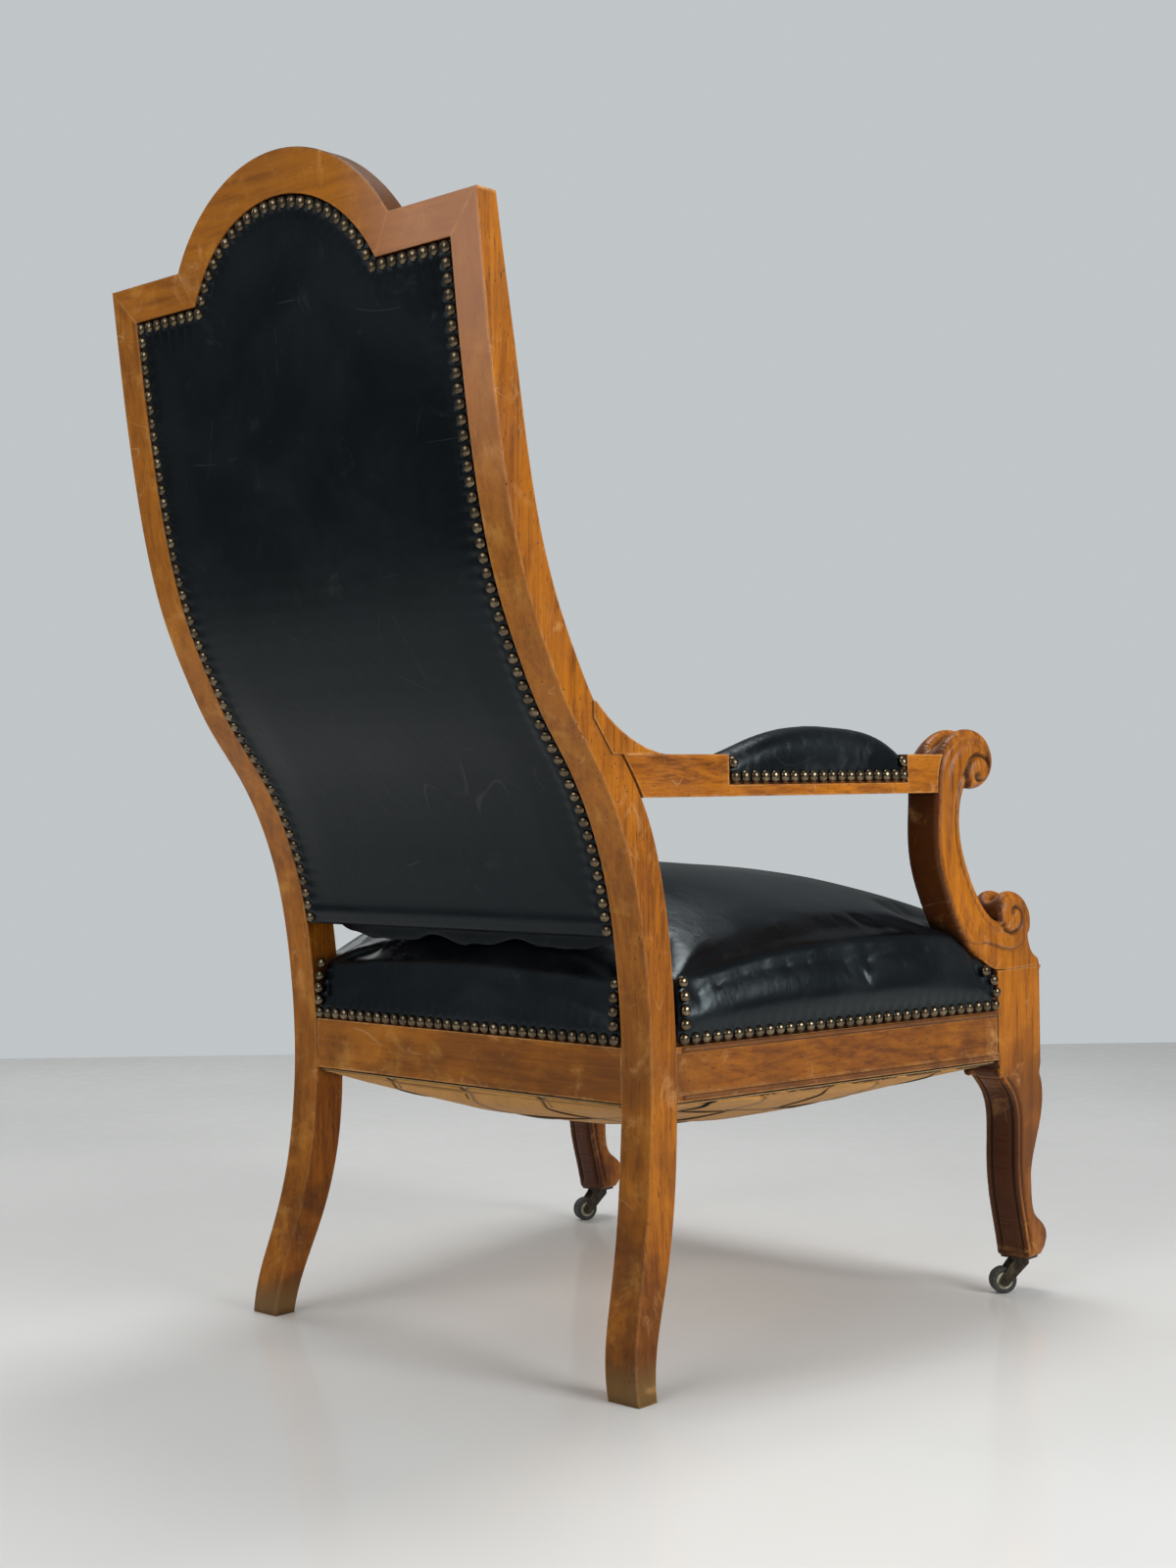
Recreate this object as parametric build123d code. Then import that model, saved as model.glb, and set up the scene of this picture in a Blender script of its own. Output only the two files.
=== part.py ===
from build123d import *
from math import atan2, cos, pi, sin, sqrt
import os

os.makedirs("parts", exist_ok=True)

# Driving dimensions, in millimetres.
# The sitter faces -Y, the sitter's left is +X, the floor is z = 0.

# Back posts and crest
post_height = 1121.0
post_sweep = 229.0
post_depth = 40.0
waist_to_toe = 602.0
seat_half_width = 270.0
top_half_width = 277.0
post_width = 40.0
foot_splay = 20.0
splay_height = 270.0
arris = 1.5
fine_arris = 1.0
bead_round = 0.7
arch_rise = 89.0
arch_outer_radius = 190.0
arch_band = 44.0
arch_inner_radius = 155.5
shoulder_band = 38.0

# Ear where each post grows into its arm
ear_length = 56.0
ear_height = 50.0
ear_root = 15.0
ear_hollow_share = 0.32

# Seat rails
rail_bottom = 276.0
rail_top = 331.0
rail_thickness = 26.0
rail_setback = 1.0
bead_proud = 1.5
top_bead = 6.0
bottom_bead = 8.0
ledge_height = 21.0
ledge_inset = 3.0
front_rail_setback = 16.0
block_leg = 52.0
block_drop = 9.0

# Front legs
leg_width = 44.0
leg_depth = 94.0
leg_top = 376.0
leg_foot = 43.0
front_half_width = 350.0
toe_reach = 8.0

# Scrolled arm supports
scroll_height = 270.0
scroll_reach = 183.0
flute_width = 12.0
flute_depth = 2.5

# Arms and their pads
arm_bottom = 576.0
arm_thickness = 42.0
arm_width = 41.0
arm_front_setback = 16.0
arm_straight = 30.0
pad_start = 141.0
pad_length = 261.0
pad_strip = 12.0
pad_ledge_height = 18.0
pad_ledge_inset = 3.0
pad_crown = 30.0
pad_dome = 19.0
leather = 2.5

# Outside and inside back
panel_recess = 2.0
panel_leather = 3.0
panel_bottom = 439.0
tack_width = 22.0
lower_rail_bottom = 446.0
lower_rail_height = 46.0
lower_rail_thickness = 16.0
hessian = 2.0
pad_border = 15.0
back_pad_edge = 14.0
back_pad_crown = 52.0
tuft_radius = 62.0
tuft_depth = 13.0
tuft_column_pitch = 128.0
tuft_row_pitch = 106.0
tuft_first_height = 520.0
button_radius = 9.0
button_height = 6.0

# Sprung seat
seat_crown = 497.0
seat_ridge = 426.0
seat_bulge = 4.0
seat_nose = 46.0
seat_rear_top = 401.0
seat_brow_share = 0.45
seat_nose_share = 0.80
seat_nose_turn_share = 0.62
seat_nose_step_share = 0.25
web_thickness = 3.0
web_sag = 64.0
web_inset = 6.0
spring_radius = 34.0
spring_wire = 2.0
spring_pitch = 20.0
spring_column_pitch = 150.0
spring_row_shares = (0.20, 0.45, 0.70)

# Nails
nail_radius = 6.25
nail_height = 4.2
nail_pitch = 14.0
nail_margin = 7.5
nail_lift = 0.1
rising_nail_shares = ((0.35, 2.0), (1.25, 2.8))
side_rise_nails = 4

# Casters
wheel_radius = 15.0
wheel_width = 14.0
wheel_round = 2.0
hub_radius = 9.5
axle_radius = 2.0
axle_head = 3.2
axle_head_height = 1.0
running_clearance = 0.05
cheek_thickness = 2.5
cheek_gap = 0.8
cheek_radius = 6.0
cheek_edge_share = 0.8
cheek_low_share = 0.6
fork_top_gap = 0.3
fork_boss_radius = 8.0
fork_boss_height = 5.7
plate_length = 34.0
plate_depth = 24.0
plate_thickness = 2.5
stem_radius = 2.5
stem_head_radius = 4.5
stem_head_height = 2.4
screw_radius = 2.2
screw_height = 1.0
screw_place = 13.0
trail = 20.0
trail_angle_right = 50.0
trail_angle_left = 70.0

# Fits and one overrun for every cut
seat_gap = 0.3
cover_gap = 0.2
corner_gap = 0.6
overrun = 30.0

# Shares of post_height, of post_sweep and of post_depth, from foot to crest
frame_shares = [
    (0.000, 0.210, 0.68),
    (0.040, 0.192, 0.79),
    (0.085, 0.127, 0.90),
    (0.137, 0.061, 0.975),
    (0.196, 0.020, 1.00),
    (0.268, 0.000, 0.95),
    (0.332, 0.013, 0.95),
    (0.392, 0.048, 0.98),
    (0.446, 0.106, 1.03),
    (0.497, 0.201, 1.10),
    (0.539, 0.318, 1.08),
    (0.584, 0.480, 1.03),
    (0.635, 0.620, 0.97),
    (0.687, 0.734, 0.94),
    (0.757, 0.833, 0.90),
    (0.827, 0.896, 0.88),
    (0.897, 0.944, 0.83),
    (0.960, 0.979, 0.72),
    (1.000, 1.000, 0.66),
    (1.084, 1.035, 0.61),
]
splay_shares = [(0.0, 1.0), (0.28, 0.475), (0.60, 0.125), (1.0, 0.0)]

crest_top = post_height + arch_rise
crest_sweep_share = frame_shares[-1][1]
waist_depth_share = 0.95
waist_y = (waist_to_toe - post_sweep * crest_sweep_share) / 2
leg_front_y = waist_y - waist_to_toe + toe_reach
leg_rear_y = leg_front_y + leg_depth
post_front_y = waist_y - post_depth * waist_depth_share
arm_top = arm_bottom + arm_thickness
arm_front_half = front_half_width - arm_front_setback
ledge_top = rail_top + ledge_height
nail_row = rail_top + nail_margin


def side_solid(edges, low, high):
    """A side-view outline drawn at x = 0 and extruded from x = low to high."""
    return Pos(low, 0, 0) * extrude(make_face(edges), amount=high - low, dir=(1, 0, 0))


def front_solid(edges, low, high):
    return Pos(0, low, 0) * extrude(make_face(edges), amount=high - low, dir=(0, 1, 0))


def plan_solid(points, low, high):
    face = make_face(Polyline(*[(x, y, 0) for x, y in points], close=True))
    return Pos(0, 0, low) * extrude(face, amount=high - low, dir=(0, 0, 1))


def mirrored(shape):
    return mirror(shape, about=Plane.YZ)


def save(name, shape):
    export_step(shape, f"parts/{name}.step")


def save_pair(name, right_hand):
    save(name + "_left", right_hand)
    save(name + "_right", mirrored(right_hand))


def group(shapes):
    return Compound(children=list(shapes))


def eased(shape, radius, least_length):
    """The shape with its long arrises worn round."""
    return fillet([edge for edge in shape.edges() if edge.length > least_length], radius)


# Curved back frame: two edges seen from the side, shared by every piece of the back
def rear_points(shift=0.0):
    return [(0, waist_y + post_sweep * s + shift, post_height * h) for h, s, d in frame_shares]


def front_points(shift=0.0):
    return [
        (0, waist_y + post_sweep * s - post_depth * d + shift, post_height * h)
        for h, s, d in frame_shares
    ]


def back_slab(rear, front, half):
    """The curved slab between two edge curves, from x = -half to half."""
    edges = [
        Spline(*rear),
        Spline(*front),
        Line(rear[0], front[0]),
        Line(rear[-1], front[-1]),
    ]
    return side_solid(edges, -half, half)


rear_edge = Spline(*rear_points())
front_edge = Spline(*front_points())


def share_at(edge, z):
    """How far along a back edge the height z lies, by halving."""
    low = 0.0
    high = 1.0
    for _ in range(40):
        middle = (low + high) / 2
        if edge.position_at(middle).Z < z:
            low = middle
        else:
            high = middle
    return low


def y_at(edge, z):
    return edge.position_at(share_at(edge, z)).Y


def post_outer(z):
    lean = (top_half_width - seat_half_width) / (post_height - splay_height)
    return seat_half_width + lean * (z - splay_height)


post_inner_top = top_half_width - shoulder_band
shoulder_z = post_height - shoulder_band
outer_centre_z = crest_top - arch_outer_radius
inner_centre_z = crest_top - arch_band - arch_inner_radius
outer_notch_x = sqrt(arch_outer_radius**2 - (post_height - outer_centre_z) ** 2)
inner_notch_x = sqrt(arch_inner_radius**2 - (shoulder_z - inner_centre_z) ** 2)
frame_half = top_half_width + foot_splay + overrun
frame_slab = back_slab(rear_points(), front_points(), frame_half)


def inner_edge_x(z):
    """The inner edge of the visible back frame at height z."""
    inner_low = seat_half_width - post_width
    share = (z - splay_height) / (shoulder_z - splay_height)
    return inner_low + (post_inner_top - inner_low) * share


def back_opening(inset, bottom):
    """The opening of the back frame seen from behind, drawn in by inset."""
    top = shoulder_z - inset
    radius = arch_inner_radius - inset
    notch = sqrt(radius**2 - (top - inner_centre_z) ** 2)
    low_x = inner_edge_x(bottom) - inset
    high_x = inner_edge_x(top) - inset
    return [
        Line((-low_x, 0, bottom), (low_x, 0, bottom)),
        Line((low_x, 0, bottom), (high_x, 0, top)),
        Line((high_x, 0, top), (notch, 0, top)),
        ThreePointArc((notch, 0, top), (0, 0, inner_centre_z + radius), (-notch, 0, top)),
        Line((-notch, 0, top), (-high_x, 0, top)),
        Line((-high_x, 0, top), (-low_x, 0, bottom)),
    ]


def opening_solid(inset, bottom):
    reach = post_sweep + waist_to_toe
    return front_solid(back_opening(inset, bottom), -reach, reach)


# Side outline of the scrolled support, from its base on the leg:
# shares of scroll_reach forwards and of scroll_height upwards
scroll_rear_shares = [
    (0.530, 0.000),
    (0.410, 0.037),
    (0.295, 0.096),
    (0.175, 0.200),
    (0.104, 0.293),
    (0.038, 0.404),
    (0.000, 0.552),
    (0.011, 0.730),
    (0.020, 0.822),
    (0.066, 0.904),
    (0.164, 0.967),
    (0.311, 1.000),
    (0.437, 0.978),
    (0.514, 0.911),
    (0.525, 0.852),
    (0.486, 0.793),
    (0.404, 0.759),
    (0.273, 0.767),
]
scroll_front_shares = [
    (0.273, 0.767),
    (0.218, 0.644),
    (0.235, 0.526),
    (0.295, 0.415),
    (0.399, 0.293),
    (0.497, 0.226),
    (0.574, 0.200),
]
scroll_volute_shares = [
    (0.574, 0.200),
    (0.574, 0.267),
    (0.634, 0.311),
    (0.727, 0.322),
    (0.825, 0.300),
    (0.902, 0.248),
    (0.923, 0.189),
    (0.913, 0.118),
    (0.935, 0.074),
]
scroll_seat_share = 0.508
arm_bite_share = 0.125
scroll_foot_shares = [(0.935, 0.074), (0.989, 0.037), (1.000, 0.000), (0.530, 0.000)]
scroll_rear_y = leg_rear_y + scroll_reach * scroll_seat_share


def scroll_points(shares, shift=0.0):
    return [
        (0, scroll_rear_y - scroll_reach * u + shift, leg_top + scroll_height * v)
        for u, v in shares
    ]


def scroll_edges(shift=0.0):
    return [
        Spline(*scroll_points(scroll_rear_shares, shift)),
        Spline(*scroll_points(scroll_front_shares, shift)),
        Spline(*scroll_points(scroll_volute_shares, shift)),
        Polyline(*scroll_points(scroll_foot_shares, shift)),
    ]


# Arm seen from above: the outer face runs straight from the post to the scroll
arm_root_y = waist_y + ear_root + rail_thickness
arm_bend_y = arm_root_y - arm_straight
arm_root_half = inner_edge_x(arm_top) + seat_gap + arm_width
arm_slope = (arm_front_half - arm_root_half) / (arm_bend_y - scroll_rear_y)


def arm_outer(y):
    return arm_root_half + arm_slope * max(arm_bend_y - y, 0.0)


def arm_strip(inset, rear_y, front_y):
    """Plan outline of the arm's run between two places, drawn in by inset."""
    elbow_y = arm_bend_y - (front_half_width - arm_root_half) / arm_slope
    stops = [rear_y]
    stops += [y for y in (arm_bend_y, elbow_y) if front_y < y < rear_y]
    stops += [front_y]
    outer = [(min(arm_outer(y), front_half_width) - inset, y) for y in stops]
    inner = [(min(arm_outer(y), front_half_width) - arm_width + inset, y) for y in stops]
    return outer + inner[::-1]


def build_post():
    """One back post, foot to mitre, with the ear that grows into the arm."""
    outer = [
        (seat_half_width + foot_splay * x, 0, splay_height * z) for z, x in splay_shares
    ]
    inner = [(x - post_width, y, z) for x, y, z in outer]
    outline = [
        Spline(*outer),
        Line(outer[-1], (top_half_width, 0, post_height)),
        Line((top_half_width, 0, post_height), (post_inner_top, 0, shoulder_z)),
        Line((post_inner_top, 0, shoulder_z), inner[-1]),
        Spline(*inner),
        Line(inner[0], outer[0]),
    ]
    reach = post_sweep + waist_to_toe
    post = frame_slab & front_solid(outline, -reach, reach)
    seam_y = y_at(front_edge, arm_top)
    tip = (0, seam_y - ear_length, arm_top)
    top = (0, y_at(front_edge, arm_top + ear_height), arm_top + ear_height)
    belly = (0, (tip[1] + top[1]) / 2, arm_top + ear_height * ear_hollow_share)
    ear = side_solid(
        [
            ThreePointArc(tip, belly, top),
            Polyline(top, (0, top[1] + ear_root, top[2]), (0, seam_y + ear_root, arm_top), tip),
        ],
        0,
        frame_half,
    )
    strip = plan_solid(
        arm_strip(0, arm_root_y + post_depth, tip[1] - overrun), arm_top, arm_top + ear_height
    )
    return eased(post, arris, 4 * post_depth) + (ear & strip)


def build_crest():
    """The arch and the left shoulder, cut from the same curved slab as the posts."""
    reach = post_sweep + waist_to_toe
    arch = [
        ThreePointArc(
            (outer_notch_x, 0, post_height), (0, 0, crest_top), (-outer_notch_x, 0, post_height)
        ),
        Line((-outer_notch_x, 0, post_height), (-inner_notch_x, 0, shoulder_z)),
        ThreePointArc(
            (-inner_notch_x, 0, shoulder_z),
            (0, 0, inner_centre_z + arch_inner_radius),
            (inner_notch_x, 0, shoulder_z),
        ),
        Line((inner_notch_x, 0, shoulder_z), (outer_notch_x, 0, post_height)),
    ]
    shoulder = [
        Polyline(
            (outer_notch_x, 0, post_height),
            (top_half_width, 0, post_height),
            (post_inner_top, 0, shoulder_z),
            (inner_notch_x, 0, shoulder_z),
            (outer_notch_x, 0, post_height),
        )
    ]
    return (
        eased(frame_slab & front_solid(arch, -reach, reach), arris, arch_inner_radius),
        eased(frame_slab & front_solid(shoulder, -reach, reach), arris, 2 * shoulder_band),
    )


post = build_post()
crest_arch, crest_shoulder = build_crest()
save_pair("rear_post", post)
save("crest_arch", crest_arch)
save_pair("crest_shoulder", crest_shoulder)


# Back upholstery, from behind to the front: leather panel, tack frame, hessian, buttoned pad
def build_back():
    half = top_half_width
    tack_rear = -(panel_recess + panel_leather + seat_gap)
    hessian_front = leather + 2 * seat_gap
    tack_front = hessian_front + hessian + seat_gap
    panel = back_slab(
        rear_points(-panel_recess), rear_points(-panel_recess - panel_leather), half
    )
    panel = panel & opening_solid(seat_gap, panel_bottom)
    tack_slab = back_slab(rear_points(tack_rear), front_points(tack_front), half)
    lower_top = lower_rail_bottom + lower_rail_height
    ring = opening_solid(0, lower_top) - opening_solid(tack_width, lower_top - overrun)
    tack_frame = tack_slab & ring
    lower = back_slab(
        rear_points(tack_rear), rear_points(tack_rear - lower_rail_thickness), half
    )
    band = opening_solid(0, lower_rail_bottom) - opening_solid(-overrun, lower_top)
    canvas = back_slab(
        front_points(hessian_front + hessian), front_points(hessian_front), half
    )
    canvas = canvas & opening_solid(seat_gap, lower_rail_bottom)
    return panel, tack_frame, lower & band, canvas


back_panel, tack_frame, lower_back_rail, back_hessian = build_back()
save("back_outer_panel", back_panel)
save("back_tack_frame", tack_frame)
save("back_lower_rail", lower_back_rail)
save("back_hessian", back_hessian)

# Shares of post_height and of the pad's crown there: it is fullest at the small of the back
back_crown_shares = [
    (0.385, 0.62),
    (0.450, 0.95),
    (0.540, 1.00),
    (0.640, 0.95),
    (0.740, 0.92),
    (0.850, 0.92),
    (0.950, 0.85),
    (1.050, 0.60),
]


def tuft_places():
    rows = 5
    for row in range(rows):
        count = 3 if row % 2 == 0 else 2
        for column in range(count):
            x = (column - (count - 1) / 2) * tuft_column_pitch
            yield x, tuft_first_height + row * tuft_row_pitch


def first_hit(shape, start, direction):
    """Where a straight line from start first meets a shape, and the face's normal."""
    hits = shape.find_intersection_points(Axis(start, direction))
    point, normal = min(hits, key=lambda hit: (hit[0] - Vector(*start)).length)
    if normal.dot(Vector(*direction)) > 0:
        normal = -normal
    return point, normal


def build_back_pad():
    """Buttoned inside back: a nailed leather border and a crowned, tufted pad."""
    border = back_slab(
        front_points(leather + seat_gap), front_points(seat_gap), top_half_width
    )
    border = border & opening_solid(seat_gap, panel_bottom)
    sections = []
    half = post_inner_top + overrun
    for height_share, crown_share in back_crown_shares:
        z = post_height * height_share
        front_y = y_at(front_edge, z)
        rear_y = front_y + post_depth
        side_y = front_y - back_pad_edge * crown_share
        crown_y = front_y - back_pad_crown * crown_share
        left = (-half, side_y, z)
        right = (half, side_y, z)
        sections.append(
            make_face(
                [
                    ThreePointArc(left, (0, crown_y, z), right),
                    Polyline(right, (half, rear_y, z), (-half, rear_y, z), left),
                ]
            )
        )
    ahead = back_slab(front_points(leather), front_points(-2 * back_pad_crown), top_half_width)
    pad = loft(sections) & ahead & opening_solid(pad_border, panel_bottom + pad_border)
    dimples = []
    buttons = []
    for x, z in tuft_places():
        point, normal = first_hit(pad, (x, -waist_to_toe, z), (0, 1, 0))
        centre = point + normal * (tuft_radius - tuft_depth)
        dimples.append(Pos(*centre) * Sphere(tuft_radius))
        seat = point - normal * (tuft_depth - button_radius**2 / (2 * tuft_radius) - nail_lift)
        buttons.append(Plane(origin=seat, z_dir=normal).location * dome(button_radius, button_height))
    return (border + pad) - dimples, group(buttons)


def dome(radius, height):
    """A low round head standing on z = 0."""
    sphere_radius = (radius**2 + height**2) / (2 * height)
    low = height - sphere_radius
    middle = atan2(radius, sphere_radius - height) / 2
    mid_point = (sphere_radius * sin(middle), 0, low + sphere_radius * cos(middle))
    outline = [
        Line((0, 0, 0), (radius, 0, 0)),
        ThreePointArc((radius, 0, 0), mid_point, (0, 0, height)),
        Line((0, 0, height), (0, 0, 0)),
    ]
    return revolve(make_face(outline), Axis.Z, 360)


nail_head = dome(nail_radius, nail_height)


def nail_at(shape, start, direction):
    point, normal = first_hit(shape, start, direction)
    place = Plane(origin=point + normal * nail_lift, z_dir=normal)
    return place.location * nail_head


def evenly(start, end, pitch):
    """Values from start to end, both kept, about one pitch apart."""
    count = max(round(abs(end - start) / pitch), 1)
    return [start + (end - start) * i / count for i in range(count + 1)]


back_inner_pad, back_buttons = build_back_pad()
save("back_inner_pad", back_inner_pad)
save("back_buttons", back_buttons)


def back_nail_places(edge, low_z):
    """Places of the nails round the back opening, seen from behind, side by side."""
    top = shoulder_z - nail_margin
    low_share = share_at(edge, low_z)
    high_share = share_at(edge, top)
    run = edge.length * (high_share - low_share)
    step = nail_pitch / run * (high_share - low_share)
    heights = [edge.position_at(share).Z for share in evenly(low_share, high_share, step)]
    places = [(inner_edge_x(z) - nail_margin, z) for z in heights]
    radius = arch_inner_radius - nail_margin
    notch = sqrt(radius**2 - (top - inner_centre_z) ** 2)
    corner_x = inner_edge_x(top) - nail_margin
    for x in evenly(corner_x, notch, nail_pitch)[1:]:
        places.append((x, top))
    start = atan2(top - inner_centre_z, notch)
    for angle in evenly(start, pi / 2, nail_pitch / radius)[1:]:
        places.append((radius * cos(angle), inner_centre_z + radius * sin(angle)))
    mirrored_places = [(-x, z) for x, z in places if x > nail_radius]
    return places + mirrored_places


reach_y = post_sweep + waist_to_toe
outer_places = back_nail_places(rear_edge, panel_bottom + nail_margin)
outer_nails = group(nail_at(back_panel, (x, reach_y, z), (0, -1, 0)) for x, z in outer_places)
save("back_outer_nails", outer_nails)
inner_places = back_nail_places(front_edge, panel_bottom + nail_margin)
inner_nails = group(nail_at(back_inner_pad, (x, -reach_y, z), (0, 1, 0)) for x, z in inner_places)
save("back_inner_nails", inner_nails)


# Seat frame
def side_outer(y):
    """Outer face of the left side rail at place y."""
    slope = (front_half_width - seat_half_width) / (post_front_y - leg_rear_y)
    return seat_half_width + slope * (post_front_y - y)


rail_outer_y = waist_y - rail_setback
front_rail_y = leg_front_y + front_rail_setback
post_inner_low = seat_half_width - post_width
leg_inner = front_half_width - leg_width


def side_rail_plan(inset, thickness):
    rear = post_front_y + post_depth / 2
    front = leg_rear_y
    return [
        (side_outer(rear) - inset, rear),
        (side_outer(front) - inset, front),
        (side_outer(front) - thickness, front),
        (side_outer(rear) - thickness, rear),
    ]


def beaded_rail(plan):
    """A rail with a bead along its top and bottom edges and a set-back nailing ledge."""
    return (
        plan_solid(plan(bead_proud, rail_thickness), rail_bottom, rail_top)
        + plan_solid(plan(0, rail_thickness), rail_bottom, rail_bottom + bottom_bead)
        + plan_solid(plan(0, rail_thickness), rail_top - top_bead, rail_top)
        + plan_solid(plan(ledge_inset, rail_thickness), rail_bottom, ledge_top)
    )


def front_rail_plan(inset, thickness):
    front = front_rail_y + inset
    rear = front_rail_y + thickness
    return [(-leg_inner, front), (leg_inner, front), (leg_inner, rear), (-leg_inner, rear)]


def rear_rail_plan(inset, thickness):
    rear = rail_outer_y - inset
    front = rail_outer_y - thickness
    return [
        (-post_inner_low, rear),
        (post_inner_low, rear),
        (post_inner_low, front),
        (-post_inner_low, front),
    ]


# Side outline of a front leg: shares of leg_depth forwards from the rear face,
# and of the height from foot to top
leg_rear_shares = [
    (0.030, 0.655),
    (0.140, 0.622),
    (0.290, 0.580),
    (0.395, 0.520),
    (0.415, 0.430),
    (0.405, 0.330),
    (0.450, 0.215),
    (0.545, 0.110),
    (0.640, 0.000),
]
leg_front_shares = [
    (0.930, 0.000),
    (1.040, 0.030),
    (1.083, 0.062),
    (0.985, 0.112),
    (0.815, 0.150),
    (0.745, 0.240),
    (0.745, 0.290),
    (0.800, 0.350),
    (0.940, 0.440),
    (1.025, 0.520),
    (1.010, 0.600),
    (0.965, 0.628),
]
leg_block_shares = [
    (0.965, 0.628),
    (1.000, 0.665),
    (1.000, 1.000),
    (0.000, 1.000),
    (0.000, 0.700),
    (0.030, 0.655),
]


def leg_points(shares):
    height = leg_top - leg_foot
    return [(0, leg_rear_y - leg_depth * u, leg_foot + height * v) for u, v in shares]


leg_heel = leg_points(leg_rear_shares)[-1]
leg_toe = leg_points(leg_front_shares)[0]


def build_leg():
    edges = [
        Spline(*leg_points(leg_rear_shares)),
        Line(leg_heel, leg_toe),
        Spline(*leg_points(leg_front_shares)),
        Polyline(*leg_points(leg_block_shares)),
    ]
    return side_solid(edges, leg_inner, front_half_width)


def build_support():
    """Scrolled arm support: two side rolls with a flute run down between them."""
    far = front_half_width + overrun
    body = side_solid(scroll_edges(), leg_inner - arm_width, far)
    strip = arm_strip(0, scroll_rear_y + overrun, leg_front_y - overrun)
    body = body & plan_solid(strip, leg_top, leg_top + scroll_height + overrun)
    front = scroll_points(scroll_front_shares)
    sunk = [(x, y + flute_depth, z - flute_depth) for x, y, z in front]
    crescent = side_solid(
        [Spline(*front), Spline(*sunk), Line(front[0], sunk[0]), Line(front[-1], sunk[-1])],
        leg_inner - arm_width,
        far,
    )
    flute_inset = (arm_width - flute_width) / 2
    flute = plan_solid(
        arm_strip(flute_inset, scroll_rear_y + overrun, leg_front_y - overrun),
        leg_top,
        leg_top + scroll_height + overrun,
    )
    return body - (flute & crescent)


leg = build_leg()
support = build_support()
scroll_prism = side_solid(scroll_edges(), 0, front_half_width + overrun)
side_rail = beaded_rail(side_rail_plan) - frame_slab
front_rail = beaded_rail(front_rail_plan)
rear_rail = plan_solid(rear_rail_plan(0, rail_thickness), rail_bottom, rail_top) + plan_solid(
    rear_rail_plan(ledge_inset, rail_thickness), rail_bottom, ledge_top
)
arm_start_y = (y_at(rear_edge, arm_bottom) + y_at(front_edge, arm_top)) / 2
arm_plan = arm_strip(0, arm_start_y, scroll_rear_y - scroll_reach * arm_bite_share)
arm = plan_solid(arm_plan, arm_bottom, arm_top) - frame_slab - scroll_prism
pad_rear_y = arm_root_y - pad_start
pad_front_y = pad_rear_y - pad_length
pad_base = arm_bottom + pad_strip
recess = plan_solid(arm_strip(-overrun, pad_rear_y, pad_front_y), pad_base, arm_top + overrun)
pad_ledge = plan_solid(
    arm_strip(pad_ledge_inset, pad_rear_y, pad_front_y), pad_base, pad_base + pad_ledge_height
)
arm = (arm - recess) + pad_ledge
save_pair("front_leg", eased(leg, arris, 2 * leg_width))
save_pair("arm_support", support)
save_pair("side_seat_rail", eased(side_rail, bead_round, 4 * rail_thickness))
save("front_seat_rail", eased(front_rail, bead_round, 4 * rail_thickness))
save("rear_seat_rail", rear_rail)
save_pair("arm", eased(arm, fine_arris, 2 * arm_width))


def build_corner_blocks():
    """Glue blocks in the four corners of the seat frame."""
    low = rail_bottom + block_drop
    high = rail_top - block_drop
    rear_face = rail_outer_y - rail_thickness
    front_face = front_rail_y + rail_thickness
    rear_end = post_front_y - block_leg
    front_end = leg_rear_y + block_leg
    rear_block = plan_solid(
        [
            (post_inner_low - block_leg, rear_face),
            (post_inner_low, rear_face),
            (post_inner_low, post_front_y),
            (side_outer(post_front_y) - rail_thickness, post_front_y),
            (side_outer(rear_end) - rail_thickness, rear_end),
        ],
        low,
        high,
    )
    front_block = plan_solid(
        [
            (leg_inner - block_leg, front_face),
            (leg_inner, front_face),
            (leg_inner, leg_rear_y),
            (side_outer(leg_rear_y) - rail_thickness, leg_rear_y),
            (side_outer(front_end) - rail_thickness, front_end),
        ],
        low,
        high,
    )
    return group([rear_block, front_block, mirrored(rear_block), mirrored(front_block)])


save("seat_corner_blocks", build_corner_blocks())

# Seat upholstery: shares of the run from rear to front rail, of the ridge and of the crown
seat_shares = [
    (-0.03, 0.66, 0.43),
    (0.11, 0.74, 0.68),
    (0.26, 0.89, 0.97),
    (0.48, 1.00, 1.00),
    (0.70, 0.98, 0.94),
    (0.88, 0.81, 0.79),
    (1.03, 0.57, 0.52),
]
seat_rear_y = rail_outer_y
seat_front_y = front_rail_y
seat_run = seat_rear_y - seat_front_y
seat_base = rail_top + seat_gap
seat_rise = seat_crown - rail_top
canvas_base = ledge_top + seat_gap
stuffing_base = canvas_base + hessian + seat_gap


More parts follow.
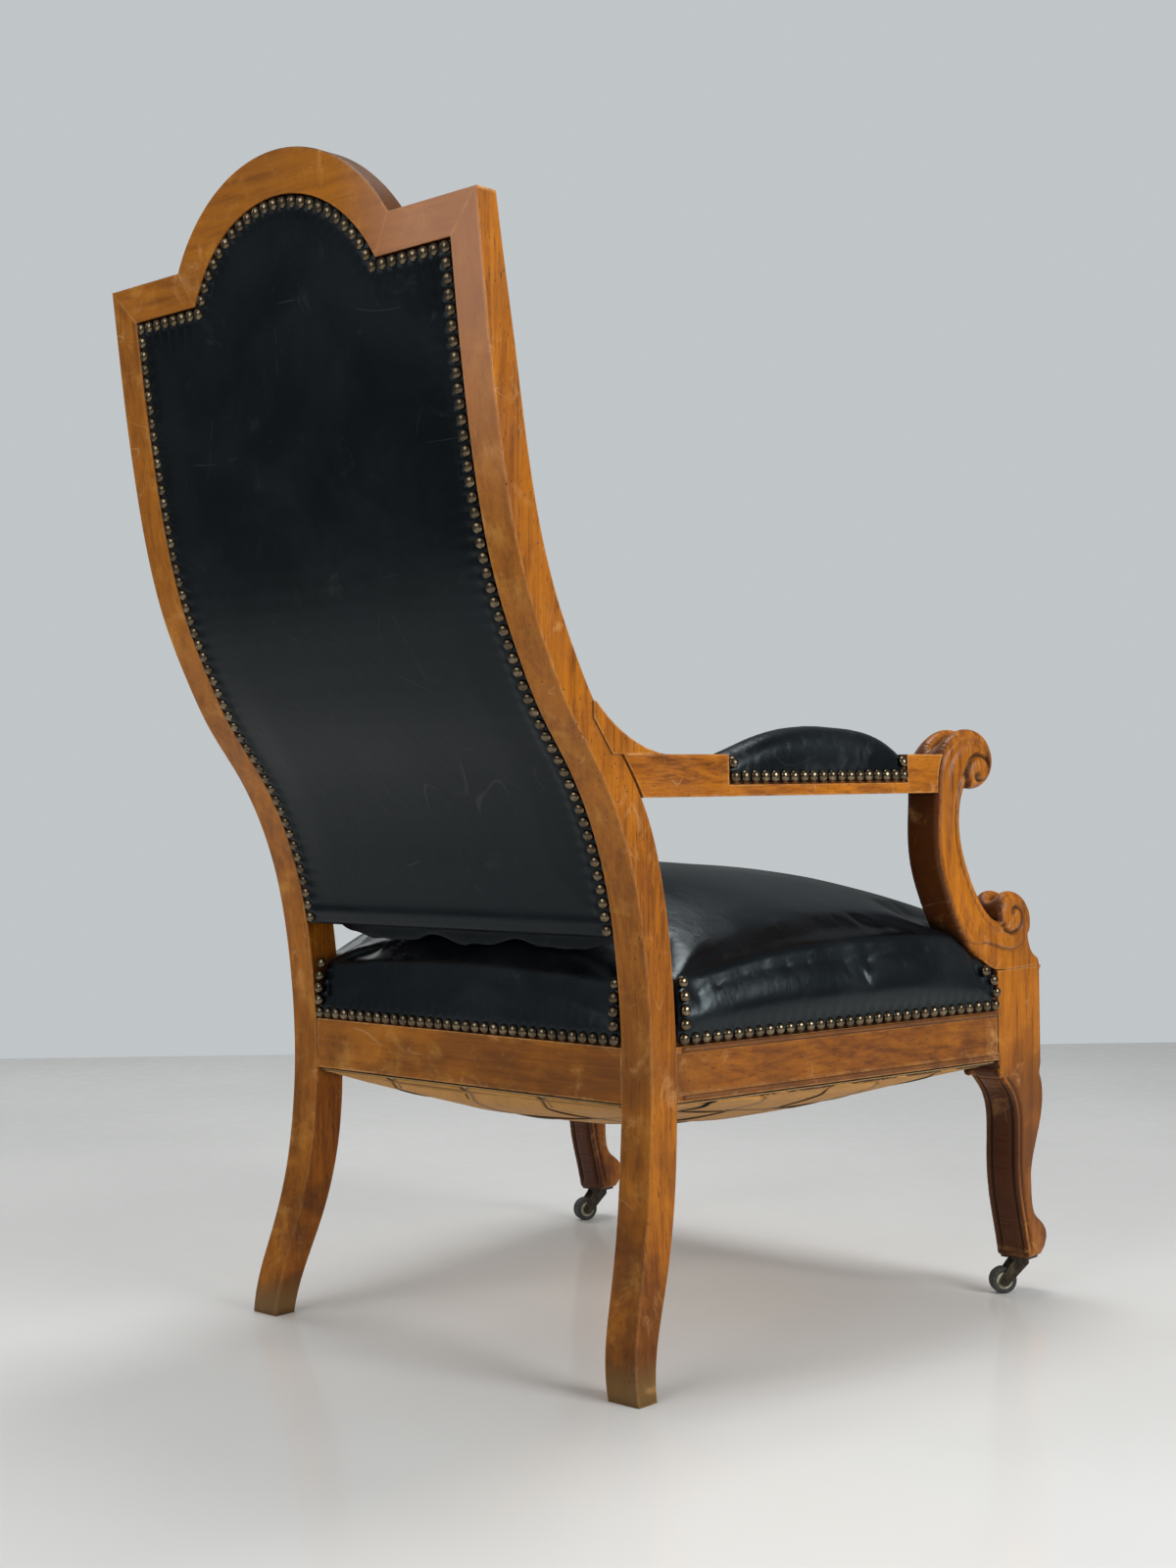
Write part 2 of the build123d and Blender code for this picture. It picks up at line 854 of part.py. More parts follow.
def seat_form(inset, base):
    """The crowned seat, drawn in by inset all round, with notches for posts, legs and scrolls."""
    sections = []
    for run_share, ridge_share, crown_share in seat_shares:
        y = seat_rear_y - seat_run * run_share
        half = side_outer(y) - cover_gap - inset
        ridge = rail_top + (seat_ridge - rail_top) * ridge_share - inset
        crown = rail_top + seat_rise * crown_share - inset
        middle = (seat_base + ridge) / 2
        sections.append(
            make_face(
                [
                    Line((-half, y, base), (half, y, base)),
                    ThreePointArc((half, y, base), (half + seat_bulge, y, middle), (half, y, ridge)),
                    ThreePointArc((half, y, ridge), (0, y, crown), (-half, y, ridge)),
                    ThreePointArc((-half, y, ridge), (-half - seat_bulge, y, middle), (-half, y, base)),
                ]
            )
        )
    crowned = loft(sections)
    rear = seat_rear_y - cover_gap - inset
    front = seat_front_y + cover_gap + inset
    brow = rail_top + seat_rise * seat_brow_share - inset
    nose_top = rail_top + seat_rise * seat_nose_share - inset
    high = seat_crown + overrun
    nose_y = front + seat_nose * seat_nose_step_share
    nose_z = brow + (nose_top - brow) * seat_nose_turn_share
    side = [
        ThreePointArc(
            (0, rear, base),
            (0, rear + seat_bulge / 2, (base + seat_rear_top) / 2),
            (0, rear - seat_bulge, seat_rear_top),
        ),
        Polyline(
            (0, rear - seat_bulge, seat_rear_top),
            (0, rear - seat_bulge, high),
            (0, front + seat_nose, high),
            (0, front + seat_nose, nose_top),
        ),
        ThreePointArc(
            (0, front + seat_nose, nose_top), (0, nose_y, nose_z), (0, front + seat_bulge, brow)
        ),
        ThreePointArc(
            (0, front + seat_bulge, brow), (0, front - seat_bulge / 2, (base + brow) / 2), (0, front, base)
        ),
        Line((0, front, base), (0, rear, base)),
    ]
    body = crowned & side_solid(side, -front_half_width - overrun, front_half_width + overrun)
    gap = corner_gap + inset
    far = front_half_width + overrun
    post_notch = plan_solid(
        [
            (post_inner_low - gap, seat_rear_y + overrun),
            (far, seat_rear_y + overrun),
            (far, post_front_y - gap),
            (post_inner_low - gap, post_front_y - gap),
        ],
        base - overrun,
        high + overrun,
    )
    leg_notch = plan_solid(
        [
            (leg_inner - gap, leg_rear_y + gap),
            (far, leg_rear_y + gap),
            (far, seat_front_y - overrun),
            (leg_inner - gap, seat_front_y - overrun),
        ],
        base - overrun,
        high + overrun,
    )
    strip_plan = arm_strip(-gap, scroll_rear_y + overrun, leg_front_y - overrun)
    strip = plan_solid(strip_plan, leg_top - gap, high + overrun)
    scroll_notch = side_solid(scroll_edges(gap), leg_inner - arm_width, far) & strip
    for notch in (post_notch, leg_notch, scroll_notch):
        body = body - notch - mirrored(notch)
    return body


def build_seat():
    cover = seat_form(0, seat_base) - seat_form(leather, seat_base)
    for rail in (side_rail, mirrored(side_rail), front_rail, rear_rail):
        cover = cover - rail
    filling = seat_form(leather + cover_gap, seat_base)
    far = front_half_width + overrun
    plan = [(-far, seat_front_y), (far, seat_front_y), (far, seat_rear_y), (-far, seat_rear_y)]
    canvas = filling & plan_solid(plan, canvas_base, canvas_base + hessian)
    stuffing = filling & plan_solid(plan, stuffing_base, seat_crown + overrun)
    return cover, canvas, stuffing


seat_cover, spring_canvas, seat_stuffing = build_seat()
save("seat_cover", seat_cover)
save("spring_canvas", spring_canvas)
save("seat_stuffing", seat_stuffing)

# Webbing under the seat: shares of the seat's run and of the sag
web_shares = [(-0.02, 0.06), (0.18, 0.66), (0.45, 1.00), (0.72, 0.80), (0.90, 0.35), (1.02, 0.06)]


def web_sag_at(y, x):
    """How far the webbing hangs at a place, read between its stations."""
    run_share = (seat_rear_y - y) / seat_run
    sag = 0.0
    for (low, low_sag), (high, high_sag) in zip(web_shares, web_shares[1:]):
        if low <= run_share <= high:
            sag = low_sag + (high_sag - low_sag) * (run_share - low) / (high - low)
    return web_sag * sag * (1 - (x / side_outer(y)) ** 2)


def build_webbing():
    """The interlaced webbing as one sagging sheet nailed up under the rails."""
    top = rail_bottom - cover_gap
    sections = []
    for run_share, sag_share in web_shares:
        y = seat_rear_y - seat_run * run_share
        half = side_outer(y) + web_inset
        sag = web_sag * sag_share
        low = top - web_thickness
        sections.append(
            make_face(
                [
                    ThreePointArc((-half, y, top), (0, y, top - sag), (half, y, top)),
                    Line((half, y, top), (half, y, low)),
                    ThreePointArc((half, y, low), (0, y, low - sag), (-half, y, low)),
                    Line((-half, y, low), (-half, y, top)),
                ]
            )
        )
    rear = seat_rear_y - web_inset
    post_side = post_inner_low - corner_gap
    post_line = post_front_y - corner_gap
    leg_line = leg_rear_y + corner_gap
    leg_side = leg_inner - corner_gap
    front = seat_front_y + web_inset
    half_plan = [
        (post_side, rear),
        (post_side, post_line),
        (side_outer(post_line) - web_inset, post_line),
        (side_outer(leg_line) - web_inset, leg_line),
        (leg_side, leg_line),
        (leg_side, front),
    ]
    plan = half_plan + [(-x, y) for x, y in half_plan[::-1]]
    low = rail_bottom - web_sag - overrun
    return loft(sections) & plan_solid(plan, low, rail_bottom)


def build_springs():
    """Nine coil springs, sewn to the webbing below and tied under the canvas."""
    springs = []
    top = canvas_base - seat_gap - spring_wire
    for run_share in spring_row_shares:
        y = seat_rear_y - seat_run * run_share
        for column in (-1, 0, 1):
            x = column * spring_column_pitch
            low = rail_bottom - web_sag_at(y, abs(x) + spring_radius) + spring_wire
            path = Helix(spring_pitch, top - low, spring_radius)
            start = path.position_at(0)
            section = Plane(origin=start, z_dir=path.tangent_at(0)) * Circle(spring_wire)
            wire = sweep(section, path=path)
            springs.append(Pos(x, y, low) * wire)
    return group(springs)


save("seat_webbing", build_webbing())
save("seat_springs", build_springs())

# Arm pads: shares of pad_length and of pad_crown
arm_pad_shares = [
    (0.00, 0.03),
    (0.08, 0.25),
    (0.20, 0.60),
    (0.35, 0.90),
    (0.50, 1.00),
    (0.65, 0.97),
    (0.80, 0.83),
    (0.92, 0.50),
    (1.00, 0.05),
]


def arm_pad_form(inset, base):
    rear = pad_rear_y - seat_gap - inset
    front = pad_front_y + seat_gap + inset
    sections = []
    for run_share, crown_share in arm_pad_shares:
        y = rear + (front - rear) * run_share
        outer = arm_outer(y) - inset
        inner = arm_outer(y) - arm_width + inset
        crown = arm_top + pad_crown * crown_share - inset
        edge = crown - pad_dome * (outer - inner) / arm_width
        sections.append(
            make_face(
                [
                    Polyline(
                        (outer, y, edge), (outer, y, base), (inner, y, base), (inner, y, edge)
                    ),
                    ThreePointArc(
                        (inner, y, edge), ((inner + outer) / 2, y, crown), (outer, y, edge)
                    ),
                ]
            )
        )
    return loft(sections)


def build_arm_pad():
    base = pad_base + seat_gap
    cover = arm_pad_form(0, base) - arm_pad_form(leather, base) - arm
    far = front_half_width + overrun
    above = plan_solid(
        [(0, pad_front_y), (far, pad_front_y), (far, pad_rear_y), (0, pad_rear_y)],
        pad_base + pad_ledge_height + seat_gap,
        arm_top + pad_crown + overrun,
    )
    return cover, arm_pad_form(leather + cover_gap, base) & above


arm_pad_cover, arm_pad_stuffing = build_arm_pad()
save_pair("arm_pad_cover", arm_pad_cover)
save_pair("arm_pad_stuffing", arm_pad_stuffing)


# Nails of the seat and the arm pads
def build_rear_seat_nails():
    half = post_inner_low - nail_margin
    places = [(x, nail_row) for x in evenly(-half, half, nail_pitch)]
    for z in evenly(nail_row, seat_rear_top - nail_margin, nail_pitch)[1:]:
        places += [(-half, z), (half, z)]
    far_y = seat_rear_y + overrun
    return group(nail_at(seat_cover, (x, far_y, z), (0, -1, 0)) for x, z in places)


def build_front_seat_nails():
    half = leg_inner - nail_margin
    places = [(x, nail_row) for x in evenly(-half, half, nail_pitch)]
    for z in evenly(nail_row, leg_top, nail_pitch)[1:]:
        places += [(-half, z), (half, z)]
    far_y = seat_front_y - overrun
    return group(nail_at(seat_cover, (x, far_y, z), (0, 1, 0)) for x, z in places)


def build_side_seat_nails():
    rear = post_front_y - nail_margin
    front = leg_rear_y + nail_margin
    places = [(y, nail_row) for y in evenly(rear, front, nail_pitch)]
    places += [(rear, nail_row + nail_pitch * step) for step in range(1, side_rise_nails + 1)]
    places += [(front, nail_row + nail_pitch)]
    places += [(front + nail_pitch * u, nail_row + nail_pitch * v) for u, v in rising_nail_shares]
    far_x = front_half_width + overrun
    return group(nail_at(seat_cover, (far_x, y, z), (-1, 0, 0)) for y, z in places)


def build_arm_pad_nails():
    row = pad_base + nail_margin + seat_gap
    rear = pad_rear_y - nail_margin
    front = pad_front_y + nail_margin
    places = [(y, row) for y in evenly(rear, front, nail_pitch)]
    places += [(rear, row + nail_pitch), (front, row + nail_pitch)]
    far_x = front_half_width + overrun
    outer = [nail_at(arm_pad_cover, (far_x, y, z), (-1, 0, 0)) for y, z in places]
    inner = [nail_at(arm_pad_cover, (0, y, z), (1, 0, 0)) for y, z in places]
    return group(outer + inner)


save("seat_rear_nails", build_rear_seat_nails())
save("seat_front_nails", build_front_seat_nails())
save_pair("seat_side_nails", build_side_seat_nails())
save_pair("arm_pad_nails", build_arm_pad_nails())

# Casters: built trailing along +X from a stem at the origin, then turned and placed
plate_low = leg_foot - plate_thickness
boss_top = plate_low - fork_top_gap
boss_low = boss_top - fork_boss_height
cheek_inner = wheel_width / 2 + cheek_gap
cheek_outer = cheek_inner + cheek_thickness


def turned(radius, low, high):
    """A round bar along Y."""
    return Pos(0, (low + high) / 2, 0) * Rot(90, 0, 0) * Cylinder(radius, high - low)


def upright(radius, low, high):
    return Pos(0, 0, (low + high) / 2) * Cylinder(radius, high - low)


def build_caster():
    wheel_place = Pos(trail, 0, wheel_radius)
    plate = Pos(0, 0, leg_foot - plate_thickness / 2) * Box(plate_length, plate_depth, plate_thickness)
    stem_low = boss_low - fork_top_gap
    plate = plate + upright(stem_radius, stem_low, plate_low)
    plate = plate + upright(stem_head_radius, stem_low - stem_head_height, stem_low)
    screws = []
    for x in (-screw_place, screw_place):
        screws.append(Pos(x, 0, 0) * upright(screw_radius, plate_low, plate_low + screw_height))
        sink = upright(screw_radius + running_clearance, plate_low - overrun, plate_low + screw_height)
        plate = plate - Pos(x, 0, 0) * sink
    cheek_outline = make_face(
        Polyline(
            (-fork_boss_radius, 0, boss_low),
            (-fork_boss_radius, 0, boss_top),
            (fork_boss_radius, 0, boss_top),
            (trail + cheek_radius * cheek_edge_share, 0, wheel_radius + cheek_radius * cheek_low_share),
            (trail - cheek_radius * cheek_edge_share, 0, wheel_radius - cheek_radius * cheek_low_share),
            close=True,
        )
    )
    cheek = extrude(cheek_outline, amount=cheek_thickness, dir=(0, 1, 0))
    cheek = cheek + Pos(trail, 0, wheel_radius) * turned(cheek_radius, 0, cheek_thickness)
    bridge = Pos(0, 0, (boss_low + boss_top) / 2) * Box(
        2 * fork_boss_radius, 2 * cheek_outer, fork_boss_height
    )
    fork = bridge + Pos(0, cheek_inner, 0) * cheek + Pos(0, -cheek_outer, 0) * cheek
    fork = fork - upright(stem_radius + running_clearance, boss_low - overrun, boss_top + overrun)
    fork = fork - wheel_place * turned(axle_radius, -overrun, overrun)
    axle = turned(axle_radius, -cheek_outer, cheek_outer)
    axle = axle + turned(axle_head, cheek_outer, cheek_outer + axle_head_height)
    axle = axle + turned(axle_head, -cheek_outer - axle_head_height, -cheek_outer)
    hub = turned(hub_radius, -wheel_width / 2, wheel_width / 2) - turned(
        axle_radius + running_clearance, -wheel_width, wheel_width
    )
    tread = turned(wheel_radius, -wheel_width / 2, wheel_width / 2)
    tread = fillet(tread.edges(), wheel_round) - turned(hub_radius, -wheel_width, wheel_width)
    return {
        "caster_fork": fork,
        "caster_axle": wheel_place * axle,
        "caster_hub": wheel_place * hub,
        "caster_tread": wheel_place * tread,
    }, {"caster_plate": plate, "caster_screws": group(screws)}


caster_x = (leg_inner + front_half_width) / 2
caster_y = (leg_heel[1] + leg_toe[1]) / 2
turning_parts, fixed_parts = build_caster()
for hand, side, angle in (("left", 1, trail_angle_left), ("right", -1, trail_angle_right)):
    stem = Pos(side * caster_x, caster_y, 0)
    for name, shape in turning_parts.items():
        save(f"{name}_{hand}", stem * Rot(0, 0, angle) * shape)
    for name, shape in fixed_parts.items():
        save(f"{name}_{hand}", stem * shape)
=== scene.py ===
import math

import bmesh
import bpy
from mathutils import Matrix, Vector, noise
from mathutils.bvhtree import BVHTree
from mathutils.kdtree import KDTree


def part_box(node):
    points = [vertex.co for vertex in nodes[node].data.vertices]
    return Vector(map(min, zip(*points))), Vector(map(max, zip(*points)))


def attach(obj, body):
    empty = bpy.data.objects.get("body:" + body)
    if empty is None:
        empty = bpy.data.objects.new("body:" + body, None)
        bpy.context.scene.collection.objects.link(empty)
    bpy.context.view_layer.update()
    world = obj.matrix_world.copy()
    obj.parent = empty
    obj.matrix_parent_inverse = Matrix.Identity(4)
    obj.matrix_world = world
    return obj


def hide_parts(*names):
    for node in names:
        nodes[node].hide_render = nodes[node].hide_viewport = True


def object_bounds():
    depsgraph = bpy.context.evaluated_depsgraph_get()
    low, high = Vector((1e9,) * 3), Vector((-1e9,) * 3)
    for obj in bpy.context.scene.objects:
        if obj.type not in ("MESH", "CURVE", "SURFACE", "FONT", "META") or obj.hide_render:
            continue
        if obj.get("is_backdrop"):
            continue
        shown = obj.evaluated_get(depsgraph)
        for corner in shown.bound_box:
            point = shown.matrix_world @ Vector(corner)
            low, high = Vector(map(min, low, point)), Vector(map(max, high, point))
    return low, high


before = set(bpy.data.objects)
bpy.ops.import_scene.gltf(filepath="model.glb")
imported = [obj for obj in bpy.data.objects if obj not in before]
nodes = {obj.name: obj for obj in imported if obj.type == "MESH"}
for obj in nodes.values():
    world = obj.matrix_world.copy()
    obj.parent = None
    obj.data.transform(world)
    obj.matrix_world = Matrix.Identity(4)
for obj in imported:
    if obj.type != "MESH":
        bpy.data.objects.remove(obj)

scene = bpy.context.scene
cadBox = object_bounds()
mm = 0.001
behind = Vector((0, 1, 0))
ahead = Vector((0, -1, 0))
above = Vector((0, 0, 1))
print("frame loaded:", len(nodes), "nodes")

# The camera stands behind the chair, on the sitter's right
shot = {
    "place": (-1.5805, 1.6933, 0.5837),
    "yaw": 2.3982,
    "pitch": 0.0032,
    "roll": -0.014,
    "lens": 47.47,
    "sensor": 36.0,
}


def makeCamera():
    lens = bpy.data.cameras.new("photoCamera")
    lens.lens = shot["lens"]
    lens.sensor_width = shot["sensor"]
    camera = bpy.data.objects.new("photoCamera", lens)
    scene.collection.objects.link(camera)
    flat = math.cos(shot["pitch"])
    look = Vector((math.sin(shot["yaw"]) * flat, math.cos(shot["yaw"]) * flat, math.sin(shot["pitch"])))
    right = look.cross(above).normalized()
    up = right.cross(look)
    turn = math.cos(shot["roll"])
    lean = math.sin(shot["roll"])
    axes = (right * turn + up * lean, up * turn - right * lean, -look)
    camera.matrix_world = Matrix.Translation(shot["place"]) @ Matrix(axes).transposed().to_4x4()
    scene.camera = camera


makeCamera()


# Shader helpers: a node with its settings, and its inputs linked or set
def feed(tree, node, inputs):
    for key, value in inputs.items():
        if isinstance(value, bpy.types.NodeSocket):
            tree.links.new(value, node.inputs[key])
        else:
            node.inputs[key].default_value = value
    return node


def addNode(tree, kind, inputs=None, **settings):
    node = tree.nodes.new("ShaderNode" + kind)
    for key, value in settings.items():
        setattr(node, key, value)
    return feed(tree, node, inputs or {})


def calc(tree, operation, first, second=0.0, third=0.0):
    return addNode(tree, "Math", {0: first, 1: second, 2: third}, operation=operation).outputs[0]


def times(tree, first, second):
    return calc(tree, "MULTIPLY", first, second)


def remap(tree, value, low, high, fromStart=0.0, toEnd=1.0):
    inputs = {"Value": value, "From Min": low, "From Max": high, "To Min": fromStart, "To Max": toEnd}
    return addNode(tree, "MapRange", inputs, interpolation_type="SMOOTHSTEP").outputs["Result"]


def mixColour(tree, factor, first, second, blend="MIX"):
    inputs = {0: factor, 6: first, 7: second}
    return addNode(tree, "Mix", inputs, data_type="RGBA", blend_type=blend).outputs[2]


def stretched(tree, vector, scale, turn=(0.0, 0.0, 0.0)):
    inputs = {"Vector": vector, "Scale": scale, "Rotation": turn}
    return addNode(tree, "Mapping", inputs).outputs["Vector"]


def cloud(tree, vector, scale, detail=3.0, rough=0.5, bend=0.0):
    inputs = {"Vector": vector, "Scale": scale, "Detail": detail, "Roughness": rough, "Distortion": bend}
    return addNode(tree, "TexNoise", inputs).outputs["Fac"]


def newGroup(name, inputs, outputs):
    group = bpy.data.node_groups.new(name, "ShaderNodeTree")
    for label, kind, value in inputs:
        socket = group.interface.new_socket(label, in_out="INPUT", socket_type="NodeSocket" + kind)
        if value is not None:
            socket.default_value = value
    for label, kind in outputs:
        group.interface.new_socket(label, in_out="OUTPUT", socket_type="NodeSocket" + kind)
    start = group.nodes.new("NodeGroupInput")
    end = group.nodes.new("NodeGroupOutput")
    return group, start.outputs, end.inputs


def makeGrainGroup():
    # Amber wood: long bands, a curled figure, golden patches and short dark flecks
    inputs = [
        ("Vector", "Vector", None),
        ("Light", "Color", (0.52, 0.17, 0.02, 1)),
        ("Middle", "Color", (0.36, 0.11, 0.012, 1)),
        ("Dark", "Color", (0.14, 0.04, 0.006, 1)),
        ("Figure", "Float", 0.5),
        ("Flecks", "Float", 0.5),
    ]
    outputs = [("Color", "Color"), ("Height", "Float")]
    group, inside, outside = newGroup("waxedGrain", inputs, outputs)
    vector = inside["Vector"]
    bend = cloud(group, vector, 5.0, 2.0, 0.5)
    fibre = cloud(group, stretched(group, vector, (420, 420, 14)), 1.0, 4.0, 0.6, 0.4)
    bands = cloud(group, stretched(group, vector, (55, 55, 3.2)), 1.0, 4.0, 0.55, 1.1)
    curl = addNode(group, "TexWave", {
        "Vector": stretched(group, vector, (1, 1, 0.14)), "Scale": 34.0, "Distortion": 9.0,
        "Detail": 3.0, "Detail Scale": 0.8, "Detail Roughness": 0.6,
    }, wave_type="BANDS", bands_direction="DIAGONAL").outputs["Fac"]
    mottle = cloud(group, stretched(group, vector, (75, 75, 32)), 1.0, 5.0, 0.65, 0.6)
    flecks = cloud(group, stretched(group, vector, (620, 620, 75)), 1.0, 3.0, 0.55, 0.2)
    fleckMask = times(group, remap(group, flecks, 0.60, 0.70), inside["Flecks"])
    figure = times(group, remap(group, curl, 0.1, 0.9), inside["Figure"])
    tone = times(group, figure, 0.28)
    for layer, share in ((bands, 0.36), (fibre, 0.24), (bend, 0.24)):
        tone = calc(group, "MULTIPLY_ADD", remap(group, layer, 0.3, 0.7), share, tone)
    base = mixColour(group, remap(group, tone, -0.15, 0.55), inside["Dark"], inside["Middle"])
    lit = mixColour(group, remap(group, tone, 0.15, 0.95), base, inside["Light"])
    golden = times(group, remap(group, mottle, 0.5, 0.72), 0.55)
    patched = mixColour(group, golden, lit, inside["Light"])
    flecked = mixColour(group, fleckMask, patched, inside["Dark"])
    lift = calc(group, "MULTIPLY_ADD", fibre, 0.3, times(group, mottle, 0.35))
    height = calc(group, "SUBTRACT", lift, times(group, fleckMask, 0.25))
    group.links.new(flecked, outside["Color"])
    group.links.new(height, outside["Height"])
    return group


def makeWearAndShadeGroup():
    # Rubbed arrises, and painted shade with some dirt in corners that occlusion finds sheltered
    inputs = [("Vector", "Vector", None), ("Width", "Float", 0.003), ("Patchy", "Float", 0.5)]
    group, inside, outside = newGroup("rubbedEdgesAndShade", inputs, [("Wear", "Float"), ("ShadeAndDirt", "Float")])
    surface = addNode(group, "NewGeometry").outputs["Normal"]
    rounded = addNode(group, "Bevel", {"Radius": inside["Width"]}, samples=4).outputs["Normal"]
    likeness = addNode(group, "VectorMath", {0: surface, 1: rounded}, operation="DOT_PRODUCT")
    bend = remap(group, calc(group, "SUBTRACT", 1.0, likeness.outputs["Value"]), 0.03, 0.18)
    speckle = cloud(group, inside["Vector"], 55.0, 5.0, 0.65, 0.4)
    spots = remap(group, speckle, times(group, inside["Patchy"], 0.9), 0.7)
    shelter = addNode(group, "AmbientOcclusion", {"Distance": 0.014}, samples=4).outputs["AO"]
    exposed = remap(group, shelter, 0.35, 0.85)
    wear = times(group, times(group, bend, spots), exposed)
    # Painted shade: sheltered places are darkened, broken up by speckle like dirt
    shadeAndDirt = times(group, calc(group, "SUBTRACT", 1.0, exposed), remap(group, speckle, 0.2, 0.55, 0.5))
    group.links.new(wear, outside["Wear"])
    group.links.new(shadeAndDirt, outside["ShadeAndDirt"])
    return group


def makeScratchGroup():
    # Thin lines along the level curves of two bent fields, broken up by a third
    inputs = [("Vector", "Vector", None), ("Scale", "Float", 9.0), ("Amount", "Float", 0.5)]
    group, inside, outside = newGroup("fineScratches", inputs, [("Lines", "Float"), ("Scuffs", "Float")])
    lines = None
    for turn, stretch in (((0.3, 0.2, 0.5), (1.0, 1.0, 0.22)), ((1.1, 0.7, 0.2), (0.3, 1.0, 1.0))):
        field = addNode(group, "TexNoise", {
            "Vector": stretched(group, inside["Vector"], stretch, turn),
            "Scale": inside["Scale"], "Detail": 1.0, "Distortion": 0.3,
        }).outputs["Fac"]
        off = calc(group, "ABSOLUTE", calc(group, "SUBTRACT", field, 0.5))
        line = calc(group, "SUBTRACT", 1.0, remap(group, off, 0.0004, 0.0022))
        lines = line if lines is None else calc(group, "MAXIMUM", lines, line)
    broken = cloud(group, inside["Vector"], 14.0, 3.0, 0.6)
    threshold = calc(group, "SUBTRACT", 0.75, times(group, inside["Amount"], 0.3))
    kept = remap(group, broken, threshold, calc(group, "ADD", threshold, 0.08))
    patches = cloud(group, inside["Vector"], 21.0, 6.0, 0.7, 0.6)
    scuffs = remap(group, patches, calc(group, "ADD", threshold, 0.02), calc(group, "ADD", threshold, 0.2))
    group.links.new(times(group, lines, kept), outside["Lines"])
    group.links.new(scuffs, outside["Scuffs"])
    return group


def makeSpeckGroup():
    # Small round holes and dark specks, in some cells only
    inputs = [("Vector", "Vector", None), ("Scale", "Float", 90.0), ("Share", "Float", 0.2)]
    group, inside, outside = newGroup("wormSpecks", inputs, [("Specks", "Float")])
    cell = addNode(group, "TexVoronoi", {"Vector": inside["Vector"], "Scale": inside["Scale"]})
    dot = calc(group, "SUBTRACT", 1.0, remap(group, cell.outputs["Distance"], 0.07, 0.14))
    chance = addNode(group, "SeparateColor", {"Color": cell.outputs["Color"]}).outputs[0]
    chosen = calc(group, "LESS_THAN", chance, inside["Share"])
    zone = remap(group, cloud(group, inside["Vector"], 7.0, 2.0), 0.5, 0.62)
    group.links.new(times(group, times(group, dot, chosen), zone), outside["Specks"])
    return group


def makeHideGroup():
    # Pebbled leather grain with fine creases
    inputs = [("Vector", "Vector", None), ("Grain", "Float", 900.0)]
    group, inside, outside = newGroup("hideGrain", inputs, [("Height", "Float"), ("Tone", "Float")])
    pebble = addNode(group, "TexVoronoi", {
        "Vector": inside["Vector"], "Scale": inside["Grain"], "Smoothness": 0.6,
    }, feature="SMOOTH_F1")
    crease = cloud(group, stretched(group, inside["Vector"], (1.0, 1.6, 0.6)), 46.0, 7.0, 0.66, 1.2)
    lift = calc(group, "MULTIPLY_ADD", pebble.outputs["Distance"], 0.25, times(group, crease, 1.3))
    group.links.new(lift, outside["Height"])
    group.links.new(cloud(group, inside["Vector"], 8.0, 4.0, 0.6, 0.5), outside["Tone"])
    return group


def makeWeaveGroup():
    # Plain weave: two sets of threads that pass over and under
    inputs = [("Vector", "Vector", None), ("Threads", "Float", 900.0), ("Slub", "Float", 0.5)]
    group, inside, outside = newGroup("plainWeave", inputs, [("Height", "Float"), ("Fray", "Float")])
    wobble = cloud(group, inside["Vector"], 160.0, 3.0, 0.6)
    nudge = times(group, calc(group, "SUBTRACT", wobble, 0.5), 0.0016)
    parts = addNode(group, "SeparateXYZ", {"Vector": inside["Vector"]})
    waves = []
    for axis in ("X", "Y"):
        spot = times(group, calc(group, "ADD", parts.outputs[axis], nudge), inside["Threads"])
        waves.append(calc(group, "SINE", times(group, spot, math.pi)))
    checker = times(group, waves[0], waves[1])
    ridge = calc(group, "ADD", calc(group, "ABSOLUTE", waves[0]), calc(group, "ABSOLUTE", waves[1]))
    body = calc(group, "MULTIPLY_ADD", ridge, 0.35, times(group, checker, 0.3))
    slubs = times(group, cloud(group, inside["Vector"], 300.0, 4.0, 0.7), inside["Slub"])
    group.links.new(calc(group, "ADD", body, slubs), outside["Height"])
    group.links.new(cloud(group, inside["Vector"], 40.0, 5.0, 0.7), outside["Fray"])
    return group


shared = {
    "grain": makeGrainGroup(),
    "wear": makeWearAndShadeGroup(),
    "scratch": makeScratchGroup(),
    "speck": makeSpeckGroup(),
    "hide": makeHideGroup(),
    "weave": makeWeaveGroup(),
}


def placeGroup(tree, name, inputs):
    node = tree.nodes.new("ShaderNodeGroup")
    node.node_tree = shared[name]
    return feed(tree, node, inputs).outputs


def newMaterial(name):
    material = bpy.data.materials.new(name)
    material.use_nodes = True
    tree = material.node_tree
    tree.nodes.clear()
    shader = tree.nodes.new("ShaderNodeBsdfPrincipled")
    output = tree.nodes.new("ShaderNodeOutputMaterial")
    tree.links.new(shader.outputs["BSDF"], output.inputs["Surface"])
    where = addNode(tree, "TexCoord").outputs["Object"]
    return material, tree, shader, where


def finishBump(tree, shader, height, strength, distance):
    bump = addNode(tree, "Bump", {"Strength": strength, "Distance": distance, "Height": height})
    tree.links.new(bump.outputs["Normal"], shader.inputs["Normal"])


